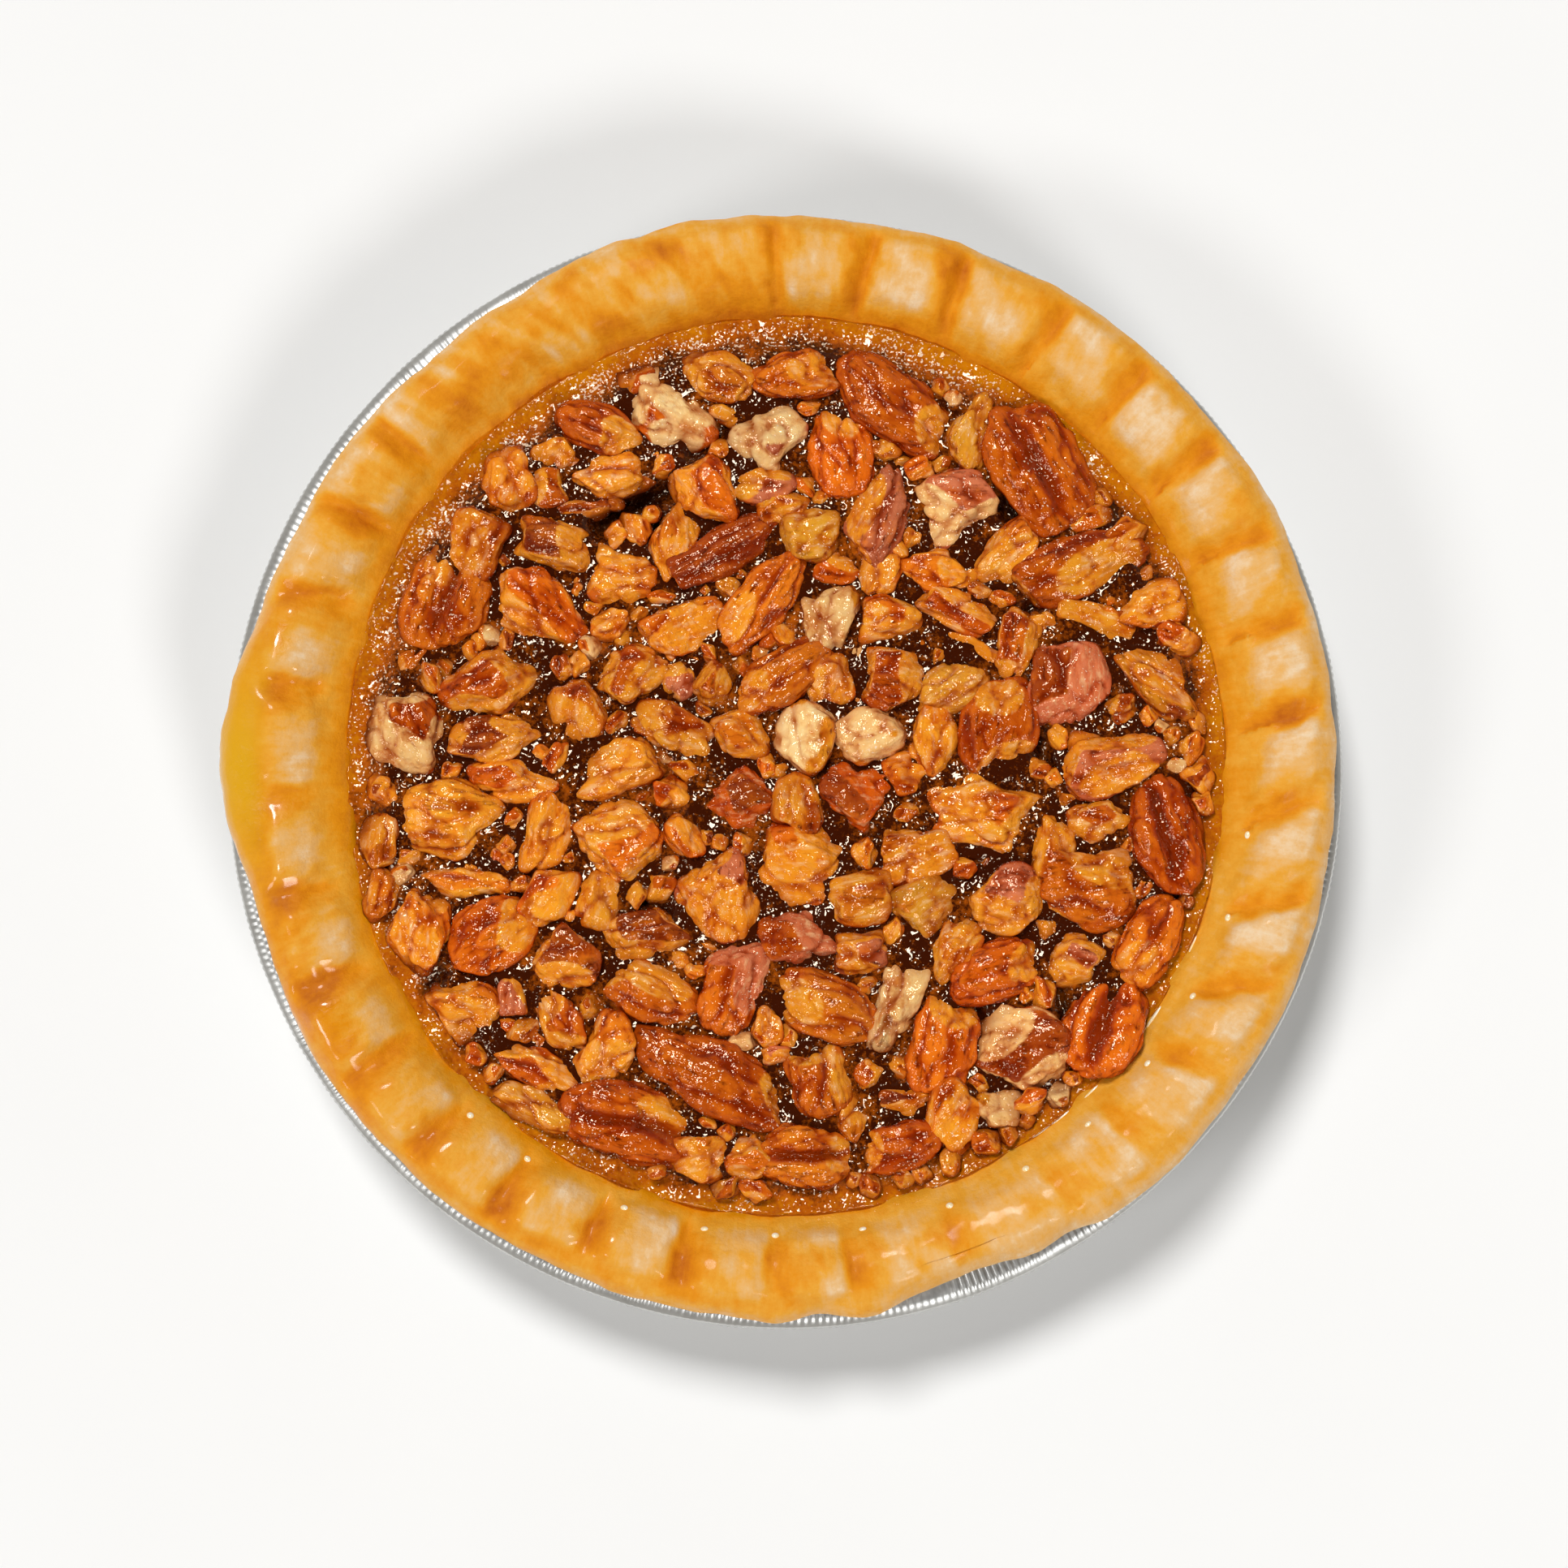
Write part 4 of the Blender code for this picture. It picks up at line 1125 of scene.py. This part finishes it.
    # Pale specks of froth, which also stand as painted glints on the glaze
    kernel = with_froth_and_glints(tree, kernel, place, 0.5 * MM, 0.74, 0.66)
    rough = add_node(tree, "MapRange", {"Value": grit, "To Min": 0.03, "To Max": 0.1})
    lumpy = add_node(tree, "Bump", {"Height": syrup, "Strength": 0.8, "Distance": 0.46 * MM})
    rippled = add_node(
        tree, "Bump", {"Height": pimples, "Strength": 0.8, "Distance": 0.13 * MM, "Normal": lumpy}
    )
    return link_shader(material, Base_Color=kernel, Roughness=rough, Normal=rippled)


def shaped_pecans(pieces, fineness, settings):
    """One bmesh of all the pieces, with their attributes as arrays in the order of its vertices."""
    ball = bmesh.new()
    bmesh.ops.create_icosphere(ball, subdivisions=fineness, radius=1.0)
    kernel = bpy.data.meshes.new("kernel")
    ball.to_mesh(kernel)
    sphere = np.array([vert.co for vert in ball.verts])
    ball.free()
    bm = bmesh.new()
    columns = {key: [] for key in ("skin", "flesh", "bare", "crease", "side", "grain")}
    for piece in pieces:
        points, bare, crease = kernel_points(sphere, piece, settings.wrinkle)
        rng = np.random.default_rng(piece.seed + 1)
        lean = Matrix.Rotation(rng.uniform(-0.12, 0.12), 3, "X")
        tip = Matrix.Rotation(rng.uniform(-0.1, 0.1), 3, "Y")
        turn = np.array(Matrix.Rotation(piece.heading, 3, "Z") @ lean @ tip)
        placed = points @ turn.T + np.array(piece.centre)
        kernel.vertices.foreach_set("co", placed.astype(np.float32).ravel())
        kernel.update()
        normals = np.empty(len(sphere) * 3, np.float32)
        kernel.vertex_normals.foreach_get("vector", normals)
        # Painted shade: how steep each point is and how near the outline, which darkens the kernel's sides so
        # that its top looks lit
        reach = np.hypot(*(2.0 * points[:, :2] / np.array(piece.size[:2])).T)
        side = 0.55 * smooth(0.3, 0.95, 1.0 - normals[2::3]) + 0.55 * smooth(0.45, 1.1, reach)
        bm.from_mesh(kernel)
        shade = rng.uniform(0.72, 1.12)
        warmth = rng.uniform(-0.06, 0.06)
        tint = np.array((1.0, 1.0 + warmth, 1.0 + 2.0 * warmth))
        # Flesh varies half as much as skin from piece to piece
        for key, base, level in (("skin", piece.skin, shade), ("flesh", piece.flesh, 0.5 + 0.5 * shade)):
            colour = np.array(getattr(settings, base))
            colour[:3] *= level * tint
            columns[key].append(np.tile(colour / max(1.0, colour.max()), (len(sphere), 1)))
        columns["bare"].append(bare)
        columns["crease"].append(crease)
        columns["side"].append(side)
        columns["grain"].append(points + rng.uniform(-0.5, 0.5, 3))
    bpy.data.meshes.remove(kernel)
    return bm, {key: np.concatenate(values) for key, values in columns.items()}


class PIE_OT_pecans(bpy.types.Operator):
    """Make the pecan pieces of one kind"""

    bl_idname = "pie.pecans"
    bl_label = "Pecans"

    kind: bpy.props.EnumProperty(
        name="Kind",
        description="Which pieces to make",
        items=[(key, kind.label, kind.note) for key, kind in KINDS.items()],
    )

    def execute(self, context):
        settings = context.scene.pie_pecans
        kind = KINDS[self.kind]
        pieces = {name: piece for name, piece in bed_pecans().items() if piece.kind == self.kind}
        bm, attributes = shaped_pecans(pieces.values(), 5, settings)
        add_piece(bm, kind.piece, pecan_material(), list(pieces), attributes)
        return {"FINISHED"}


class PIE_OT_bits(bpy.types.Operator):
    """Make the smaller pecan pieces between the others, and the crumbs that fill their gaps"""

    bl_idname = "pie.bits"
    bl_label = "Pecan Bits"

    def execute(self, context):
        settings = context.scene.pie_pecans
        bits = bed_bits()
        crumbs = gap_fillers(list(bed_pecans().values()) + bits, settings)
        for name, group, limit, fineness in (
            ("pecan_bits", bits, settings.large_bit, 4), ("pecan_crumbs", crumbs, settings.large_crumb, 3),
        ):
            large = [piece for piece in group if piece.size[0] >= limit]
            small = [piece for piece in group if piece.size[0] < limit]
            for size, pieces, finer in (("large", large, 1), ("small", small, 0)):
                bm, attributes = shaped_pecans(pieces, fineness + finer, settings)
                add_piece(
                    bm, f"{name}_{size}", pecan_material(), attributes=attributes
                )
        return {"FINISHED"}


def outline_distance(points, pieces):
    """How far each point is from the nearest pecan's outline, in metres, less than zero inside."""
    nearest = np.full(len(points), 1.0)
    for piece in pieces:
        across = points[:, :2] - np.array(piece.centre)[:2]
        cosine, sine = math.cos(piece.heading), math.sin(piece.heading)
        along = across[:, 0] * cosine + across[:, 1] * sine
        aside = across[:, 1] * cosine - across[:, 0] * sine
        length, width = piece.size[0] / 2.0, piece.size[1] / 2.0
        reach = ((np.abs(along) / length) ** 2.5 + (np.abs(aside) / width) ** 2.5) ** 0.4
        nearest = np.minimum(nearest, (reach - 1.0) * min(length, width))
    return nearest


def segment_distance(points, start, end):
    """How far each point is from a line between two points on the bed."""
    start, end = np.array(start), np.array(end)
    run = end - start
    share = np.clip(((points[:, :2] - start) @ run) / (run @ run), 0.0, 1.0)
    return np.linalg.norm(points[:, :2] - start - share[:, None] * run, axis=1)


def hollow_lines():
    """The deep gaps, as their ends on the bed, depth and half width, in metres."""
    for *ends, depth, width in HOLLOWS:
        yield *(np.array(ends).reshape(2, 2) * MM + BED_CENTRE), depth * MM, width * MM


def gap_fillers(pieces, settings):
    """Crumbs that fill the gaps between pieces, the widest gap first, out to the edge of the bed."""
    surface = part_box("filling")[1].z
    rng = np.random.default_rng(41)
    across = np.arange(-CRUMB_REACH_MM, CRUMB_REACH_MM, CRUMB_PITCH_MM) * MM
    places = np.stack(np.meshgrid(across, across), axis=-1).reshape(-1, 2)
    places = places + rng.uniform(-0.5, 0.5, places.shape) * MM
    bearings, radii = bearing_and_radius(places)
    reach = read_round(BED_REACH_MM, bearings) * MM
    places = places[radii < reach]
    gap = np.minimum(outline_distance(places, pieces), (reach - radii)[radii < reach] + 1.0 * MM)
    for start, end, _, width in hollow_lines():
        gap = np.minimum(gap, segment_distance(places, start, end) - 0.8 * width)
    crumbs = []
    while len(crumbs) < settings.crumbs:
        widest = int(gap.argmax())
        if gap[widest] < SMALLEST_GAP:
            break
        size = 2.0 * min(gap[widest] + CRUMB_OVERLAP, WIDEST_CRUMB) * rng.uniform(0.85, 1.0)
        colour = rng.choice(CRUMB_COLOURS)
        bare = colour in FLESH_COLOURS
        lift = rng.uniform(0.2, 1.5) * MM + 0.05 * size
        crumb = Pecan(
            "chunk", np.array((*places[widest], surface + lift)),
            (size * rng.uniform(1.05, 1.45), size, size * 0.85), rng.uniform(0, math.pi),
            "honey" if bare else colour, colour if bare else "gold", 0.8 if bare else 0.2,
            rng.uniform(0, math.tau), FIRST_CRUMB_SEED + len(crumbs),
        )
        crumbs.append(crumb)
        gap = np.minimum(gap, outline_distance(places, [crumb]))
    return crumbs


# ---------------------------------------------------------------------------------------------
# The filling
# ---------------------------------------------------------------------------------------------


def filling_material(settings):
    """Baked caramel custard: a dark set syrup with a skin of burst bubbles, frothy at the crust."""
    material, tree = new_material(
        "baked_caramel", IOR=1.48, Specular_IOR_Level=0.52, Specular_Tint=linear("#FFECD4")
    )
    place = add_node(tree, "TexCoord", output="Object")
    tone, deep, froth_glint_spread = (
        add_node(tree, "Attribute", output="Fac", attribute_name=name) for name in ("froth", "deep", "froth_glint_spread")
    )
    mottle, speck = (
        add_node(
            tree, "TexNoise",
            {"Vector": place, "Scale": 1.0 / (size * MM), "Detail": detail, "Roughness": rough},
        )
        for size, detail, rough in ((2.6, 5.0, 0.65), (0.85, 3.0, 0.7))
    )
    for pattern, weight in ((mottle, 0.9), (speck, 0.8)):
        tone = add_node(tree, "Math", {0: pattern, 1: weight, 2: tone}, operation="MULTIPLY_ADD")
    tone = add_node(tree, "Math", {0: tone, 1: 0.85}, operation="SUBTRACT")
    shades = ((0.0, settings.syrup), (0.38, settings.caramel), (0.8, settings.foam), (1.0, settings.foam))
    caramel = add_node(tree, "ValToRGB", {"Fac": tone}, stops=shades)
    # Pale specks of froth, which also stand as painted glints on the bubbles
    caramel = with_froth_and_glints(tree, caramel, place, 0.6 * MM, 0.76, 0.66, froth_glint_spread)
    # Painted shade: the deep hollows are darkened nearly to black
    caramel = add_node(tree, "Mix", {0: deep, 6: caramel, 7: settings.hollow_shade}, 2, data_type="RGBA")
    rough = add_node(tree, "MapRange", {"Value": speck, "To Min": 0.05, "To Max": 0.1})
    bubble = add_node(
        tree, "TexVoronoi", {"Vector": place, "Scale": 1.0 / (1.0 * MM)}, feature="SMOOTH_F1"
    )
    bubbles = add_node(tree, "Bump", {"Height": bubble, "Strength": 0.8, "Distance": 0.36 * MM})
    return link_shader(material, Base_Color=caramel, Roughness=rough, Normal=bubbles)


class PIE_OT_filling(bpy.types.Operator):
    """Make the caramel filling"""

    bl_idname = "pie.filling"
    bl_label = "Filling"

    def execute(self, context):
        settings = context.scene.pie_filling
        low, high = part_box("filling")
        bm = bmesh.new()
        bmesh.ops.create_grid(bm, x_segments=settings.cells, y_segments=settings.cells, size=1.0)
        flat = np.array([vert.co for vert in bm.verts])
        # A square grid bent to a disc keeps its cells even, where a turned one would crowd its middle
        disc = flat.copy()
        disc[:, 0] = flat[:, 0] * np.sqrt(1.0 - flat[:, 1] ** 2 / 2.0)
        disc[:, 1] = flat[:, 1] * np.sqrt(1.0 - flat[:, 0] ** 2 / 2.0)
        bearings, share = bearing_and_radius(disc)
        edge = ring_at(crust_rings()["edge"], bearings)[0] + 0.5 * MM
        points = polar(bearings, share * edge, 0.0)
        from_edge = edge * (1.0 - share)
        pieces = list(bed_pecans().values()) + bed_bits()
        gap = outline_distance(points, pieces)
        inside = smooth(3.0 * MM, 9.0 * MM, from_edge)
        # The surface rises from the crust, climbs against each pecan and sinks where a gap is wide
        height = high.z - 0.4 * MM + 1.5 * MM * inside
        height += 0.8 * MM * fade(gap, 1.1 * MM) * inside
        height -= 0.9 * MM * smooth(0.6 * MM, 3.2 * MM, gap) * inside
        # It creeps up the crust unevenly and is lumpy with bubbles of three sizes
        height += 0.7 * MM * np.exp(-from_edge / (1.2 * MM))
        height += 1.1 * MM * noise_at(points, 6.0 * MM, 55) * np.exp(-from_edge / (2.5 * MM))
        for rise, size, seed in ((0.6, 4.8, 51), (0.3, 2.2, 52), (0.12, 1.25, 53)):
            height += rise * MM * noise_at(points, size * MM, seed)
        # How much painted shade darkens each hollow, by its depth
        deep = np.zeros(len(points))
        for start, end, depth, width in hollow_lines():
            dent = bell(segment_distance(points, start, end), 0.0, width)
            height -= depth * dent
            deep = np.maximum(deep, dent * min(1.0, depth / (2.6 * MM)))
        points[:, 2] = height
        for vert, place in zip(bm.verts, points):
            vert.co = place
        # The froth gathers at the crust, and the filling is darkened against each pecan as painted shade
        edge_froth = (0.36 + 0.08 * facing(bearings, 40.0)) * (1.0 - smooth(1.0 * MM, 6.0 * MM, from_edge))
        froth = 0.2 + edge_froth + 0.2 * noise_at(points, 6.0 * MM, 54)
        froth -= 0.22 * fade(gap, 0.9 * MM) * inside
        # Where the pale specks, partly painted glints, lie thickest: a band near the crust, most to the
        # north-west
        froth_glint_spread = bell(from_edge, 5.0 * MM, 4.5 * MM) * (0.55 + 0.45 * facing(bearings, 330.0))
        close_filling(bm, low.z)
        hidden = np.zeros(len(bm.verts) - len(points))
        attributes = {
            key: np.concatenate((values, hidden))
            for key, values in (("froth", froth), ("deep", 0.9 * deep), ("froth_glint_spread", froth_glint_spread))
        }
        add_piece(bm, "caramel_filling", filling_material(settings), ["filling"], attributes)
        return {"FINISHED"}


def close_filling(bm, floor):
    """Give the surface its tapered side and its flat underside, as new vertices after the old ones."""
    rim = [edge for edge in bm.edges if edge.is_boundary]
    top_faces = len(bm.faces)
    made = bmesh.ops.extrude_edge_only(bm, edges=rim)["geom"]
    # The side's faces are made in no fixed order, so they are put in the order of their bearings
    bm.faces.index_update()
    centres = np.array([face.calc_center_median() for face in bm.faces])
    order = np.arange(len(centres), dtype=float)
    order[top_faces:] = top_faces + bearing_and_radius(centres[top_faces:])[0]
    bm.faces.sort(key=lambda face: order[face.index])
    lower = [item for item in made if isinstance(item, bmesh.types.BMVert)]
    for vert in lower:
        bearing, _ = bearing_and_radius(np.array(vert.co))
        vert.co = polar(bearing, FILLING_FOOT_RADIUS, floor + 0.1 * MM)
    bottom = [item for item in made if isinstance(item, bmesh.types.BMEdge)]
    bmesh.ops.edgeloop_fill(bm, edges=bottom)
    bmesh.ops.recalc_face_normals(bm, faces=bm.faces)


# ---------------------------------------------------------------------------------------------
# The stage
# ---------------------------------------------------------------------------------------------


# Half the table's width, in metres, so that its edges stay out of view
TABLE_REACH = 6.0


def table_material():
    """Matt white board: no gloss, with the least unevenness of paint."""
    material, tree = new_material("matt_white_board", IOR=1.45)
    place = add_node(tree, "TexCoord", output="Object")
    cloud = add_node(tree, "TexNoise", {"Vector": place, "Scale": 1.0 / (120.0 * MM), "Detail": 2.0})
    tone = add_node(tree, "Mix", {0: cloud, 6: "#F4F4F3", 7: "#F9F9F8"}, 2, data_type="RGBA")
    rough = add_node(tree, "MapRange", {"Value": cloud, "To Min": 0.75, "To Max": 0.9})
    return link_shader(material, Base_Color=tone, Roughness=rough)


def aim(item, place, target):
    """Put a light or a camera at a place and point it at a target."""
    item.location = place
    item.rotation_euler = (Vector(target) - Vector(place)).to_track_quat("-Z", "Y").to_euler()
    bpy.context.scene.collection.objects.link(item)


class PIE_OT_stage(bpy.types.Operator):
    """Set up the table, the lights and the camera"""

    bl_idname = "pie.stage"
    bl_label = "Stage"

    def execute(self, context):
        settings = context.scene.pie_stage
        scene = context.scene
        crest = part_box("crust")[1].z
        # The view is centred a little in front of the tin's middle, just under the crest
        target = Vector((0.0, -3.9 * MM, crest - 1.5 * MM))
        bm = bmesh.new()
        bmesh.ops.create_grid(bm, x_segments=8, y_segments=8, size=TABLE_REACH)
        mesh = bpy.data.meshes.new("table")
        bm.to_mesh(mesh)
        bm.free()
        mesh.materials.append(table_material())
        table = bpy.data.objects.new("table", mesh)
        scene.collection.objects.link(table)
        table.location.z = CAD_BOX[0][2]
        for name, strength, place in (
            ("key", settings.key_strength, (-0.2, 0.45, 0.98)),
            ("fill_right", 0.6 * settings.fill_strength, (0.4, -0.7, 0.8)),
            ("fill_left", 0.4 * settings.fill_strength, (-0.7, -0.45, 0.8)),
        ):
            lamp = bpy.data.lights.new(name, "SUN")
            lamp.angle = settings.lamp_angle
            lamp.energy = strength
            aim(bpy.data.objects.new(name, lamp), place, target)
        world = bpy.data.worlds.new("studio")
        scene.world = world
        world.use_nodes = True
        tree = world.node_tree
        sky = tree.nodes["Background"]
        sky.inputs["Color"].default_value = linear("#FFF7EC")
        # The studio's walls are bright and its ceiling is dim, so that wet tops aren't veiled
        view = add_node(tree, "TexCoord", output="Generated")
        rise = add_node(tree, "SeparateXYZ", {0: view}, output="Z")
        walls, ceiling = 1.7 * settings.sky, 0.1 * settings.sky
        glow_range = {"Value": rise, "From Min": 0.05, "From Max": 0.8, "To Min": walls, "To Max": ceiling}
        tree.links.new(add_node(tree, "MapRange", glow_range), sky.inputs["Strength"])
        camera = bpy.data.cameras.new("camera")
        camera.sensor_width = 36.0
        camera.lens = camera.sensor_width * settings.distance / settings.width
        camera.clip_start = 0.05
        viewer = bpy.data.objects.new("camera", camera)
        away = Vector((0.0, -math.cos(settings.elevation), math.sin(settings.elevation))) * settings.distance
        aim(viewer, target + away, target)
        scene.camera = viewer
        scene.view_settings.view_transform = "Standard"
        return {"FINISHED"}


# ---------------------------------------------------------------------------------------------
# The sidebar and the run
# ---------------------------------------------------------------------------------------------


class PIE_PT_panel(bpy.types.Panel):
    """The pie's pieces in the sidebar"""

    bl_label = "Pecan Pie"
    bl_idname = "PIE_PT_panel"
    bl_space_type = "VIEW_3D"
    bl_region_type = "UI"
    bl_category = "Pie"

    def draw(self, context):
        layout = self.layout
        for kind in KINDS:
            layout.operator(PIE_OT_pecans.bl_idname, text=f"Pecans: {kind}").kind = kind
        for operator in (PIE_OT_tin, PIE_OT_crust, PIE_OT_glint_beads, PIE_OT_filling, PIE_OT_bits, PIE_OT_stage):
            layout.operator(operator.bl_idname)
        for group in SETTINGS:
            settings = getattr(context.scene, group)
            for name in type(settings).__annotations__:
                layout.prop(settings, name)


SETTINGS = {
    "pie_tin": PIE_PG_tin,
    "pie_crust": PIE_PG_crust,
    "pie_filling": PIE_PG_filling,
    "pie_pecans": PIE_PG_pecans,
    "pie_stage": PIE_PG_stage,
}
CLASSES = (
    *SETTINGS.values(),
    PIE_OT_tin, PIE_OT_crust, PIE_OT_glint_beads, PIE_OT_filling, PIE_OT_pecans, PIE_OT_bits, PIE_OT_stage,
    PIE_PT_panel,
)


def register():
    """Register the classes and hang each settings group on the scene."""
    for item in CLASSES:
        bpy.utils.register_class(item)
    for name, group in SETTINGS.items():
        setattr(bpy.types.Scene, name, bpy.props.PointerProperty(type=group))


def unregister():
    """Take the settings and the classes away again."""
    for name in SETTINGS:
        delattr(bpy.types.Scene, name)
    for item in reversed(CLASSES):
        bpy.utils.unregister_class(item)


def main():
    """Make every piece and the stage."""
    register()
    bpy.ops.pie.tin()
    bpy.ops.pie.crust()
    bpy.ops.pie.syrup()
    bpy.ops.pie.filling()
    for kind in LOOKS:
        bpy.ops.pie.pecans(kind=kind)
    bpy.ops.pie.bits()
    bpy.ops.pie.stage()


if __name__ == "__main__":
    main()
